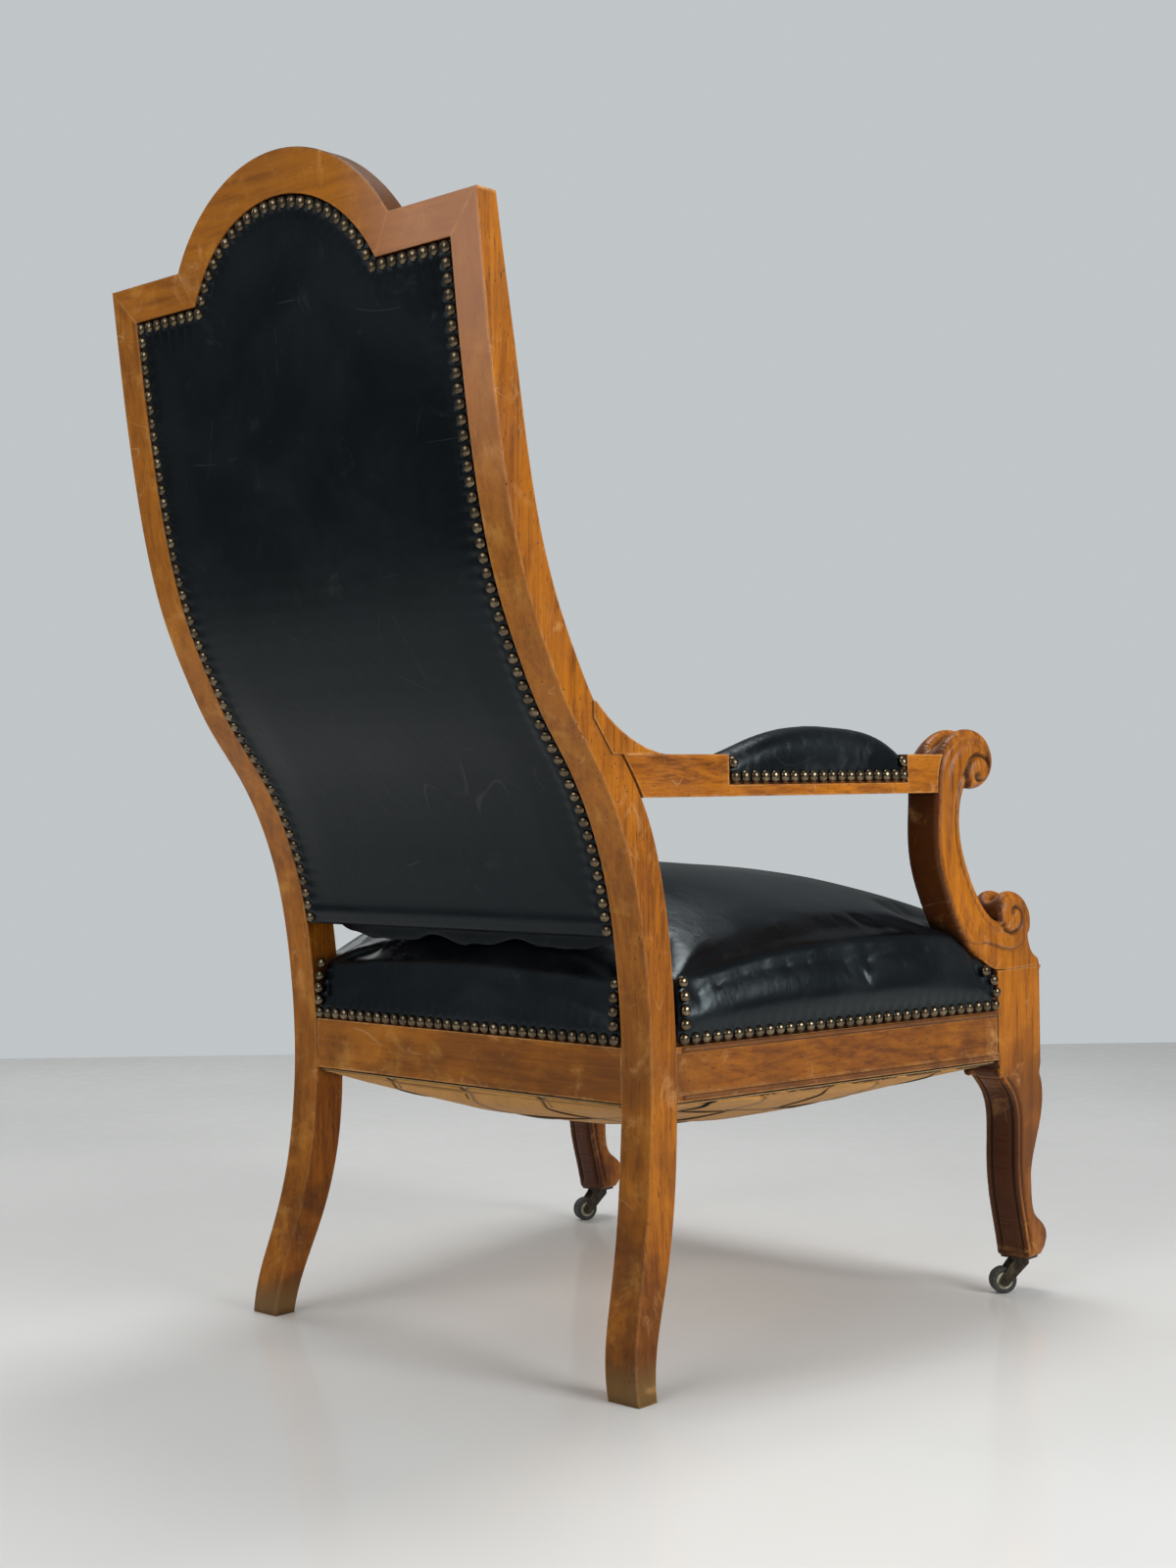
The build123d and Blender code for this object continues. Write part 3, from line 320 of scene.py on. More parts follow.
woodFinish = {
    "light": (0.56, 0.185, 0.008, 1),
    "middle": (0.32, 0.090, 0.005, 1),
    "dark": (0.075, 0.020, 0.003, 1),
    # rear faces: patina and painted shade
    "rear": (0.34, 0.125, 0.014, 1),
    "shaded": (0.060, 0.016, 0.005, 1),
    # painted shade for faces that look upwards
    "crown": (0.055, 0.019, 0.005, 1),
    "gold": (0.70, 0.34, 0.070, 1),
    # painted sheen, pale and pinkish
    "paintedSheen": (0.52, 0.26, 0.165, 1),
    "bead": (0.115, 0.048, 0.020, 1),
    "foot": (0.16, 0.090, 0.028, 1),
    "worn": (0.74, 0.40, 0.15, 1),
    # painted shade in corners and grooves, also dirt and dark specks
    "shadeAndDirt": (0.022, 0.010, 0.005, 1),
    "scratch": (0.62, 0.40, 0.20, 1),
}


def makeWood(name, turn, figure, flecks, specks, rubbed=0.9, rearShadeTone="rear", rearShadeShare=0.42,
             crown=0.0, stain=0.0):
    material, tree, shader, where = newMaterial(name)
    along = stretched(tree, where, (1, 1, 1), turn)
    grain = placeGroup(tree, "grain", {
        "Vector": along, "Light": woodFinish["light"], "Middle": woodFinish["middle"],
        "Dark": woodFinish["dark"], "Figure": figure, "Flecks": flecks,
    })
    normal = addNode(tree, "NewGeometry").outputs["Normal"]
    facing = addNode(tree, "SeparateXYZ", {"Vector": normal}).outputs
    spot = addNode(tree, "SeparateXYZ", {"Vector": where}).outputs
    # Rear-facing faces take a browner tone, partly patina and partly painted shade; on the carved members
    # nearly all of it is the shaded colour, painted shade
    rear = remap(tree, facing["Y"], 0.35, 0.85, 0.0, rearShadeShare)
    tinted = mixColour(tree, rear, grain["Color"], woodFinish[rearShadeTone])
    # Painted shade: faces that look upwards are darkened, strongly on the crest
    tinted = mixColour(tree, remap(tree, facing["Z"], 0.2, 0.55, 0.0, crown), tinted, woodFinish["crown"])
    tinted = mixColour(tree, stain, tinted, woodFinish["bead"])
    blotch = cloud(tree, where, 9.0, 4.0, 0.6, 0.4)
    # Darker towards the bottom, in blotches, towards the shaded colour
    darkerLow = times(tree, remap(tree, spot["Z"], 0.45, 0.18, 0.3), remap(tree, blotch, 0.32, 0.62, 0.18, 0.78))
    tinted = mixColour(tree, darkerLow, tinted, woodFinish["shaded"])
    golden = 0.34 if rearShadeTone == "rear" else 0.0
    patches = remap(tree, cloud(tree, where, 24.0, 6.0, 0.66, 0.3), 0.5, 0.74, 0.0, golden)
    patches = times(tree, patches, remap(tree, facing["Y"], 0.3, 0.8))
    tinted = mixColour(tree, patches, tinted, woodFinish["gold"])
    # Painted sheen: a pale pinkish reflection on the high rear faces of the right post
    paintedSheen = times(tree, remap(tree, spot["Z"], 0.78, 1.08), remap(tree, spot["X"], -0.08, -0.20, 0.0, 0.62))
    paintedSheen = times(tree, paintedSheen, remap(tree, facing["Y"], 0.5, 0.8))
    tinted = mixColour(tree, paintedSheen, tinted, woodFinish["paintedSheen"])
    ground = times(tree, remap(tree, spot["Z"], 0.05, 0.01), remap(tree, blotch, 0.3, 0.6, 0.45, 0.9))
    tinted = mixColour(tree, ground, tinted, woodFinish["foot"])
    wear = placeGroup(tree, "wear", {"Vector": where, "Width": 0.004, "Patchy": 0.30})
    scratch = placeGroup(tree, "scratch", {"Vector": where, "Scale": 11.0, "Amount": 0.7})
    speck = placeGroup(tree, "speck", {"Vector": where, "Scale": 130.0, "Share": specks})
    scuffed = mixColour(tree, times(tree, scratch["Scuffs"], 0.35), tinted, woodFinish["worn"])
    worn = mixColour(tree, times(tree, wear["Wear"], rubbed), scuffed, woodFinish["worn"])
    lined = mixColour(tree, times(tree, scratch["Lines"], 0.24), worn, woodFinish["scratch"])
    # Painted shade: corners that occlusion finds sheltered, and the grooves and gaps marked on the
    # vertices, are darkened, together with some dirt
    recessShade = addNode(tree, "Attribute", attribute_name="recessShade").outputs["Fac"]
    shadeAndGrime = calc(tree, "MAXIMUM", times(tree, wear["ShadeAndDirt"], 0.85), times(tree, recessShade, 0.92))
    withShadeAndDirt = mixColour(tree, shadeAndGrime, lined, woodFinish["shadeAndDirt"])
    specked = mixColour(tree, times(tree, speck["Specks"], 0.9), withShadeAndDirt, woodFinish["shadeAndDirt"])
    tree.links.new(specked, shader.inputs["Base Color"])
    polish = cloud(tree, where, 18.0, 4.0, 0.6)
    rough = calc(tree, "ADD", remap(tree, polish, 0.3, 0.7, 0.30, 0.46), times(tree, wear["ShadeAndDirt"], 0.25))
    tree.links.new(calc(tree, "MULTIPLY_ADD", wear["Wear"], 0.08, rough), shader.inputs["Roughness"])
    shader.inputs["Specular IOR Level"].default_value = 0.2
    dents = calc(tree, "SUBTRACT", grain["Height"], times(tree, speck["Specks"], 1.5))
    lines = calc(tree, "SUBTRACT", dents, times(tree, scratch["Lines"], 0.4))
    finishBump(tree, shader, lines, 0.35, 0.0006)
    return material


leatherFinish = {
    "deep": (0.0014, 0.0022, 0.0032, 1),
    "worn": (0.0045, 0.0058, 0.0078, 1),
    "shine": (0.78, 0.95, 1.0, 1),
    "scratch": (0.10, 0.09, 0.08, 1),
    "scuff": (0.040, 0.040, 0.042, 1),
}


def makeLeather(name, scuffs, gloss, shine):
    material, tree, shader, where = newMaterial(name)
    hide = placeGroup(tree, "hide", {"Vector": where, "Grain": 950.0})
    scratch = placeGroup(tree, "scratch", {"Vector": where, "Scale": 7.0, "Amount": scuffs})
    deep, worn = leatherFinish["deep"], leatherFinish["worn"]
    tone = mixColour(tree, remap(tree, hide["Tone"], 0.35, 0.7), deep, worn)
    rubbed = mixColour(tree, times(tree, scratch["Scuffs"], 0.35), tone, leatherFinish["scuff"])
    lined = mixColour(tree, times(tree, scratch["Lines"], 0.2), rubbed, leatherFinish["scratch"])
    tree.links.new(lined, shader.inputs["Base Color"])
    rough = remap(tree, hide["Tone"], 0.3, 0.7, gloss, gloss + 0.14)
    tree.links.new(calc(tree, "MULTIPLY_ADD", scratch["Scuffs"], 0.2, rough), shader.inputs["Roughness"])
    shader.inputs["Specular IOR Level"].default_value = shine
    shader.inputs["Specular Tint"].default_value = leatherFinish["shine"]
    finishBump(tree, shader, hide["Height"], 0.28, 0.0009)
    return material


brassFinish = {
    "bright": (0.21, 0.16, 0.10, 1),
    "dull": (0.105, 0.078, 0.05, 1),
    # painted shade round the nail heads, also dirt
    "shadeAndDirt": (0.02, 0.016, 0.011, 1),
}


def makeBrass(name):
    material, tree, shader, where = newMaterial(name)
    patina = cloud(tree, where, 60.0, 3.0, 0.6)
    fine = cloud(tree, where, 700.0, 3.0, 0.6)
    wear = placeGroup(tree, "wear", {"Vector": where, "Width": 0.002, "Patchy": 0.4})
    tone = mixColour(tree, remap(tree, patina, 0.38, 0.66), brassFinish["dull"], brassFinish["bright"])
    spotted = mixColour(tree, remap(tree, fine, 0.55, 0.75, 0.0, 0.3), tone, brassFinish["dull"])
    # Painted shade where occlusion finds the nail heads sheltered, with some dirt
    withShadeAndDirt = mixColour(tree, times(tree, wear["ShadeAndDirt"], 0.9), spotted, brassFinish["shadeAndDirt"])
    tree.links.new(withShadeAndDirt, shader.inputs["Base Color"])
    tree.links.new(remap(tree, patina, 0.3, 0.7, 0.32, 0.2), shader.inputs["Roughness"])
    shader.inputs["Metallic"].default_value = 1.0
    finishBump(tree, shader, fine, 0.15, 0.0003)
    return material


bronzeFinish = {"dark": (0.030, 0.024, 0.018, 1), "rubbed": (0.15, 0.115, 0.07, 1)}


def makeBronze(name):
    material, tree, shader, where = newMaterial(name)
    patina = cloud(tree, where, 130.0, 5.0, 0.65)
    wear = placeGroup(tree, "wear", {"Vector": where, "Width": 0.0015, "Patchy": 0.3})
    dark, rubbed = bronzeFinish["dark"], bronzeFinish["rubbed"]
    tone = mixColour(tree, remap(tree, patina, 0.4, 0.75, 0.0, 0.6), dark, rubbed)
    worn = mixColour(tree, wear["Wear"], tone, rubbed)
    tree.links.new(worn, shader.inputs["Base Color"])
    tree.links.new(remap(tree, patina, 0.3, 0.7, 0.4, 0.6), shader.inputs["Roughness"])
    shader.inputs["Metallic"].default_value = 0.85
    finishBump(tree, shader, patina, 0.3, 0.0004)
    return material


plainFinishes = {
    # low tone, high tone, noise scale, roughness low and high, bump distance, metallic
    "wheelTread": ((0.014, 0.013, 0.012, 1), (0.05, 0.046, 0.04, 1), 240.0, 0.5, 0.75, 0.0004, 0.0),
    "wheelHub": ((0.16, 0.16, 0.10, 1), (0.42, 0.42, 0.30, 1), 190.0, 0.35, 0.6, 0.0003, 0.0),
    "springSteel": ((0.09, 0.075, 0.06, 1), (0.34, 0.33, 0.31, 1), 120.0, 0.35, 0.6, 0.0002, 0.9),
}


def makePlain(name):
    low, high, scale, smooth, rough, depth, metal = plainFinishes[name]
    material, tree, shader, where = newMaterial(name)
    patina = cloud(tree, where, scale, 5.0, 0.65, 0.3)
    tree.links.new(mixColour(tree, remap(tree, patina, 0.35, 0.65), low, high), shader.inputs["Base Color"])
    tree.links.new(remap(tree, patina, 0.3, 0.7, smooth, rough), shader.inputs["Roughness"])
    shader.inputs["Metallic"].default_value = metal
    finishBump(tree, shader, patina, 0.4, depth)
    return material


clothFinishes = {
    # thread colour, shadow colour, threads a metre
    "hessianCloth": ((0.62, 0.42, 0.19, 1), (0.25, 0.15, 0.06, 1), 800.0),
    "webCloth": ((0.66, 0.31, 0.050, 1), (0.38, 0.17, 0.025, 1), 1000.0),
}


def makeCloth(name, turn=(0.0, 0.0, 0.0)):
    thread, shadow, count = clothFinishes[name]
    material, tree, shader, where = newMaterial(name)
    laid = stretched(tree, where, (1, 1, 1), turn)
    weave = placeGroup(tree, "weave", {"Vector": laid, "Threads": count, "Slub": 0.6})
    tone = mixColour(tree, remap(tree, weave["Height"], 0.25, 1.0), shadow, thread)
    stain = mixColour(tree, remap(tree, weave["Fray"], 0.5, 0.75, 0.0, 0.6), tone, shadow)
    recessShade = addNode(tree, "Attribute", attribute_name="recessShade").outputs["Fac"]
    # the marked strap edges take painted shade, dark lines between the straps
    edged = mixColour(tree, times(tree, recessShade, 0.9), stain, woodFinish["shadeAndDirt"])
    tree.links.new(edged, shader.inputs["Base Color"])
    tree.links.new(remap(tree, weave["Fray"], 0.3, 0.7, 0.8, 0.95), shader.inputs["Roughness"])
    shader.inputs["Sheen Weight"].default_value = 0.15
    finishBump(tree, shader, weave["Height"], 0.7, 0.0008)
    return material


quarter = math.pi / 2
materials = {
    "woodUpright": makeWood("woodUpright", (0.0, 0.0, 0.0), 0.35, 0.9, 0.6),
    # carved members: rear faces in the shaded colour, painted shade
    "woodCarved": makeWood("woodCarved", (0.0, 0.0, 0.0), 0.35, 0.8, 0.5, 0.8, "shaded", 0.92),
    "woodAcross": makeWood("woodAcross", (0.0, quarter, 0.0), 0.5, 0.4, 0.15),
    "woodCrest": makeWood("woodCrest", (0.0, quarter, 0.0), 0.5, 0.4, 0.15, rubbed=0.4, crown=0.85),
    "woodRun": makeWood("woodRun", (quarter, 0.0, 0.0), 0.4, 0.6, 0.2),
    "woodRail": makeWood("woodRail", (quarter, 0.0, 0.0), 0.5, 0.8, 0.4, stain=0.38),
    "woodBead": makeWood("woodBead", (quarter, 0.0, 0.0), 0.2, 1.0, 0.3, 0.5, "rear", 0.5, 0.0, 0.7),
    "woodInner": makeWood("woodInner", (0.0, quarter, 0.0), 0.2, 0.9, 0.4, 0.2),
    "blackLeather": makeLeather("blackLeather", 0.6, 0.30, 0.2),
    "seatLeather": makeLeather("seatLeather", 0.5, 0.22, 0.34),
    "padLeather": makeLeather("padLeather", 0.95, 0.24, 0.3),
    "agedBrass": makeBrass("agedBrass"),
    "darkBronze": makeBronze("darkBronze"),
    "hessianCloth": makeCloth("hessianCloth"),
    "webCloth": makeCloth("webCloth"),
    "backHessian": makeCloth("hessianCloth", (quarter, 0.0, 0.0)),
}
for plainName in plainFinishes:
    materials[plainName] = makePlain(plainName)
print("finishes made:", len(materials))

# Which finish each carried-over node takes, by the start of its name
nodeFinishes = {
    "rear_post": "woodUpright",
    "front_leg": "woodUpright",
    "arm_support": "woodUpright",
    "crest": "woodCrest",
    "rear_seat_rail": "woodAcross",
    "front_seat_rail": "woodAcross",
    "side_seat_rail": "woodRail",
    "arm_": "woodRun",
    "back_tack_frame": "woodInner",
    "back_lower_rail": "woodInner",
    "seat_corner_blocks": "woodInner",
    "back_outer_nails": "agedBrass",
    "back_inner_nails": "agedBrass",
    "seat_rear_nails": "agedBrass",
    "seat_front_nails": "agedBrass",
    "seat_side_nails": "agedBrass",
    "arm_pad_nails": "agedBrass",
    "back_buttons": "blackLeather",
    "seat_springs": "springSteel",
    "caster_tread": "wheelTread",
    "caster_hub": "wheelHub",
    "caster_": "darkBronze",
}


def dressNodes():
    for name, piece in nodes.items():
        starts = [start for start in nodeFinishes if name.startswith(start)]
        if not starts:
            continue
        finish = materials[nodeFinishes[max(starts, key=len)]]
        for place in piece.material_slots:
            place.material = finish
        if not piece.material_slots:
            print("no slot on", name)


dressNodes()


# Mesh helpers
def welded(name):
    shape = bmesh.new()
    shape.from_mesh(nodes[name].data)
    bmesh.ops.remove_doubles(shape, verts=shape.verts, dist=0.02 * mm)
    shape.normal_update()
    return shape


def treeOf(name):
    shape = welded(name)
    tree = BVHTree.FromBMesh(shape)
    shape.free()
    return tree


def pointTree(points):
    tree = KDTree(len(points))
    for index, point in enumerate(points):
        tree.insert(point, index)
    tree.balance()
    return tree


def vertsBeside(vert):
    return [edge.other_vert(vert) for edge in vert.link_edges]


def facesBeside(face):
    return [other for edge in face.edges for other in edge.link_faces]


def shells(items, neighbours):
    # The separate shells of a mesh, as lists of the vertices or faces that hang together
    seen = set()
    for first in items:
        if first in seen:
            continue
        seen.add(first)
        shell = [first]
        for item in shell:
            for other in neighbours(item):
                if other not in seen:
                    seen.add(other)
                    shell.append(other)
        yield shell


def studTree(*names):
    # The middle of each nail or button of these nodes
    centres = []
    for name in names:
        shape = welded(name)
        for shell in shells(shape.verts, vertsBeside):
            centres.append(sum((vert.co for vert in shell), Vector()) / len(shell))
        shape.free()
    return pointTree(centres)


def joinRows(shape, rows, closed=False):
    # Faces between each row of vertices and the next; closed rows are rings
    for near, far in zip(rows, rows[1:]):
        for place in range(len(near) - (not closed)):
            onward = (place + 1) % len(near)
            shape.faces.new((near[place], near[onward], far[onward], far[place]))


def bell(value, width):
    return math.exp(-((value / width) ** 2))


def smooth(low, high, value):
    share = min(max((value - low) / (high - low), 0.0), 1.0)
    return share * share * (3 - 2 * share)


def nailPull(studs, point):
    # Distance from the nail row, distance from the nearest nail, and place between two nails, 0 to 0.5
    near = studs.find_n(point, 2)
    pitch = max((near[0][0] - near[1][0]).length, 1 * mm)
    close = near[0][2]
    run = (pitch * pitch - (near[1][2] ** 2 - close**2)) / (2 * pitch)
    away = math.sqrt(max(close**2 - run**2, 0.0))
    return away, close, min(abs(run) / pitch, 0.5)


def puckered(facts, away, phase):
    # How far the cover is drawn in by a nail, and let out midway between two, fading off from the row
    return facts["pucker"] * math.cos(2 * math.pi * phase) * math.exp(-away / facts["puckerFade"])


def rimLoop(name, towards):
    # The outline of the side of a node that looks one way, as a closed run of points
    shape = welded(name)
    facing = {face for face in shape.faces if face.normal.dot(towards) > 0.5}
    border = [edge for edge in shape.edges if sum(face in facing for face in edge.link_faces) == 1]
    links = {}
    for edge in border:
        for vert in edge.verts:
            links.setdefault(vert, []).append(edge)
    left = set(border)
    best = []
    while left:
        edge = min(left, key=lambda item: item.index)
        left.discard(edge)
        start, here = edge.verts
        loop = [start.co.copy(), here.co.copy()]
        while here != start:
            onward = [item for item in links[here] if item in left]
            if not onward:
                break
            left.discard(onward[0])
            here = onward[0].other_vert(here)
            loop.append(here.co.copy())
        if len(loop) > len(best):
            best = loop
    shape.free()
    return best[:-1]


def flattened(point, axis):
    flat = point.copy()
    flat[axis] = 0
    return flat


def rimFinder(loop, axis):
    # Finds the nearest place of an outline, and how far off it is, seen along one axis
    points = loopPoints(loop, 2 * mm)
    tree = pointTree([flattened(point, axis) for point in points])

    def find(point):
        index, away = tree.find(flattened(point, axis))[1:]
        return points[index], away

    return find


def cutSheet(outline, step):
    # A flat sheet with this outline, cut into squares
    sheet = bmesh.new()
    sheet.faces.new([sheet.verts.new((across, up, 0)) for across, up in outline])
    for axis in (0, 1):
        line = Vector((1, 0, 0)) if axis == 0 else Vector((0, 1, 0))
        low = min(point[axis] for point in outline)
        high = max(point[axis] for point in outline)
        count = round((high - low) / step)
        for index in range(1, count):
            everything = sheet.verts[:] + sheet.edges[:] + sheet.faces[:]
            spot = line * (low + (high - low) * index / count)
            bmesh.ops.bisect_plane(sheet, geom=everything, plane_co=spot, plane_no=line, dist=0.01 * mm)
    return sheet


def newPiece(name, mesh, material):
    piece = bpy.data.objects.new(name, mesh)
    scene.collection.objects.link(piece)
    mesh.materials.clear()
    mesh.materials.append(material)
    mesh.shade_smooth()
    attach(piece, "root")
    return piece


def meshFrom(shape, name):
    mesh = bpy.data.meshes.new(name)
    shape.to_mesh(mesh)
    shape.free()
    return mesh


def thicken(piece, thickness):
    wall = piece.modifiers.new("wall", "SOLIDIFY")
    wall.thickness = thickness
    wall.offset = -1.0  # the wall grows inwards
    applyModifiers(piece)


def applyModifiers(piece):
    graph = bpy.context.evaluated_depsgraph_get()
    made = bpy.data.meshes.new_from_object(piece.evaluated_get(graph))
    piece.modifiers.clear()
    piece.data = made


def remeshed(name, voxel, adjust=None):
    # A node's solid as one even skin of small faces
    shape = welded(name)
    if adjust:
        for vert in shape.verts:
            vert.co = adjust(vert.co)
    mesh = meshFrom(shape, name + "Skin")
    piece = bpy.data.objects.new(name + "Skin", mesh)
    scene.collection.objects.link(piece)
    skin = piece.modifiers.new("skin", "REMESH")
    skin.mode = "VOXEL"
    skin.voxel_size = voxel
    applyModifiers(piece)
    made = piece.data
    bpy.data.objects.remove(piece)
    return made


def relax(mesh, factor, times):
    shape = bmesh.new()
    shape.from_mesh(mesh)
    for _ in range(times):
        bmesh.ops.smooth_vert(
            shape, verts=shape.verts, factor=factor, use_axis_x=True, use_axis_y=True, use_axis_z=True)
    shape.to_mesh(mesh)
    shape.free()


def moveAll(mesh, mover):
    # mover(point, normal) gives each vertex its new place
    places = [(vert.co.copy(), vert.normal.copy()) for vert in mesh.vertices]
    for vert, (point, normal) in zip(mesh.vertices, places):
        vert.co = mover(point, normal)
    mesh.update()


def swell(piece, pressure, cap, held, frames=20):
    # The pad is blown up gently from inside; held(point) is 1 where tacks hold it
    pins = piece.vertex_groups.new(name="held")
    starts = [vert.co.copy() for vert in piece.data.vertices]
    for vert in piece.data.vertices:
        pins.add([vert.index], held(vert.co), "REPLACE")
    cloth = piece.modifiers.new("swell", "CLOTH")
    cloth.settings.quality = 4
    cloth.settings.mass = 0.4
    cloth.settings.tension_stiffness = 18
    cloth.settings.compression_stiffness = 18
    cloth.settings.bending_stiffness = 1.2
    cloth.settings.use_pressure = True
    cloth.settings.uniform_pressure_force = pressure
    cloth.settings.effector_weights.gravity = 0
    cloth.settings.vertex_group_mass = "held"
    cloth.collision_settings.use_collision = False
    cloth.point_cache.frame_start = 1
    cloth.point_cache.frame_end = frames
    for number in range(1, frames + 1):
        scene.frame_set(number)
    applyModifiers(piece)
    for vert, start in zip(piece.data.vertices, starts):
        step = vert.co - start
        if step.length > cap:
            vert.co = start + step * (cap / step.length)
    piece.vertex_groups.clear()
    scene.frame_set(1)


# Outside back: one hide over wadding, turned under and nailed
backLeather = {
    "step": 3.6 * mm,
    "thickness": 2.2 * mm,
    "nailReach": 6.5 * mm,  # how far a nail head holds the leather down
    "puff": 1.6 * mm,
    "belly": 2.5 * mm,
    "pucker": 2.0 * mm,
    "puckerFade": 9 * mm,
    "roll": 2.2 * mm,
    "rollAt": 14.5 * mm,
    "rollWidth": 4.5 * mm,
    "ripple": 1.0 * mm,
    "turnDown": 0.8 * mm,
}


def makeBackLeather():
    facts = backLeather
    name = "back_outer_panel"
    loop = rimLoop(name, behind)
    surface = treeOf(name)
    studs = studTree("back_outer_nails")
    rim = rimFinder(loop, 1)
    sheet = cutSheet([(point.x, point.z) for point in loop], facts["step"])
    for vert in sheet.verts:
        across, up = vert.co.x, vert.co.y
        near, edge = rim(Vector((across, 0, up)))
        hit = surface.ray_cast(Vector((across, 1, up)), ahead)[0] or near
        point = Vector((across, hit.y, up))
        away, close, phase = nailPull(studs, point)
        loose = 1 - bell(close, facts["nailReach"])
        rise = facts["puff"] * smooth(0.5 * mm, 6 * mm, edge) * loose
        rise += facts["belly"] * smooth(12 * mm, 75 * mm, edge)
        rise += facts["roll"] * bell(edge - facts["rollAt"], facts["rollWidth"]) * (0.6 + 0.8 * phase)
        rise -= puckered(facts, away, phase) * loose
        rise += facts["ripple"] * noise.noise(point * 7) * smooth(15 * mm, 80 * mm, edge)
        rise -= facts["turnDown"] * (1 - smooth(0, 3 * mm, edge))
        vert.co = point + behind * rise
    mesh = meshFrom(sheet, "backLeather")
    piece = newPiece("backLeather", mesh, materials["blackLeather"])
    orient(piece, behind)
    thicken(piece, facts["thickness"])
    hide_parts(name)
    declareSheet(piece, loop)


def loopPoints(loop, step):
    # A closed run of points with more points set between, about one step apart
    points = []
    for start, end in zip(loop, loop[1:] + loop[:1]):
        count = max(int((end - start).length / step), 1)
        points += [start.lerp(end, index / count) for index in range(count)]
    return points


def orient(piece, towards, outwards=False):
    # All faces turned to look one way, or outwards on a closed form
    shape = bmesh.new()
    shape.from_mesh(piece.data)
    if outwards:
        bmesh.ops.recalc_face_normals(shape, faces=shape.faces[:])
    else:
        for face in shape.faces:
            if face.normal.dot(towards) < 0:
                face.normal_flip()
    shape.to_mesh(piece.data)
    shape.free()
    piece.data.shade_smooth()


def declareSheet(piece, loop):
    # The cut size is the box of the outline, the area that of the sheet itself
    spans = [max(p[axis] for p in loop) - min(p[axis] for p in loop) for axis in range(3)]
    width, length = sorted(spans)[1:]
    shape = bmesh.new()
    shape.from_mesh(piece.data)
    area = sum(face.calc_area() for face in shape.faces) / 2
    shape.free()
    length = max(length, area / width)


makeBackLeather()
print("outside back covered")


# Two plain cloths inside: hessian behind the padding, canvas over the springs
hiddenCloth = {"step": 16 * mm, "thickness": 1.2 * mm, "ripple": 0.3 * mm}


def makeHiddenCloth(name, towards, material, label, inset):
    loop = rimLoop(name, towards)
    surface = treeOf(name)
    axis = 1 if abs(towards.y) > 0.5 else 2
    other = 3 - axis
    middle = sum(loop, Vector()) / len(loop)
    loop = [point.lerp(middle, inset) for point in loop]
    rim = rimFinder(loop, axis)
    sheet = cutSheet([(point.x, point[other]) for point in loop], hiddenCloth["step"])
    for vert in sheet.verts:
        point = Vector((vert.co.x, 0, 0))
        point[other] = vert.co.y
        hit = surface.ray_cast(point + towards, -towards)[0] or rim(point)[0]
        point[axis] = hit[axis]
        vert.co = point + towards * hiddenCloth["ripple"] * noise.noise(point * 60)
    piece = newPiece(label, meshFrom(sheet, label), material)
    orient(piece, towards)
    thicken(piece, hiddenCloth["thickness"])
    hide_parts(name)
    declareSheet(piece, loop)


makeHiddenCloth("back_hessian", behind, materials["backHessian"], "backHessian", 0.01)
makeHiddenCloth("spring_canvas", above, materials["hessianCloth"], "springCanvas", 0.05)
print("hidden cloths laid")


# Inside back: buttoned in diamonds, with folds from button to button and out to the edges
tufting = {
    "step": 4 * mm,
    "puff": 8 * mm,
    "fold": 7 * mm,
    "foldWidth": 8 * mm,
    "pull": 24 * mm,
    "nailReach": 6.5 * mm,
    "edgePuff": 1.2 * mm,
    "pucker": 1.0 * mm,
    "puckerFade": 8 * mm,
    "ripple": 0.8 * mm,
    "droop": 17 * mm,
    "rings": 8,
}


def makeTuftedBack():
    facts = tufting
    name = "back_inner_pad"
    loop = rimLoop(name, behind)
    surface = treeOf(name)
    studs = studTree("back_inner_nails")
    buttons = studTree("back_buttons")
    places = [found[0] for found in buttons.find_range(Vector((0, 0, 0.8)), 5.0)]
    folds = foldLines(places)
    rim = rimFinder(loop, 1)
    sheet = cutSheet([(point.x, point.z) for point in loop], facts["step"])
    flatButtons = pointTree([flattened(place, 1) for place in places])
    low = min(point.z for point in loop)
    for vert in sheet.verts:
        flat = Vector((vert.co.x, 0, vert.co.y))
        near, edge = rim(flat)
        hit = surface.ray_cast(flat + ahead, behind)[0] or near
        point = Vector((flat.x, hit.y, flat.z))
        away, close, phase = nailPull(studs, point)
        loose = 1 - bell(close, facts["nailReach"])
        hub = flatButtons.find(flat)[2]
        nearFold = min(segmentDistance(flat, start, end) for start, end in folds)
        inside = smooth(16 * mm, 45 * mm, edge)
        relaxed = 1 - bell(hub, facts["pull"])
        rise = facts["puff"] * inside * relaxed * smooth(0, 34 * mm, nearFold)
        rise -= facts["fold"] * bell(nearFold, facts["foldWidth"]) * inside * relaxed
        rise += facts["edgePuff"] * smooth(1 * mm, 5 * mm, edge) * loose * (1 - inside)
        rise -= puckered(facts, away, phase) * loose
        rise += facts["ripple"] * noise.noise(point * 22) * inside * relaxed
        vert.co = point + ahead * rise
    addSkirt(sheet, surface, low)
    piece = newPiece("tuftedBack", meshFrom(sheet, "tuftedBack"), materials["blackLeather"])
    orient(piece, ahead, outwards=True)
    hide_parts(name)


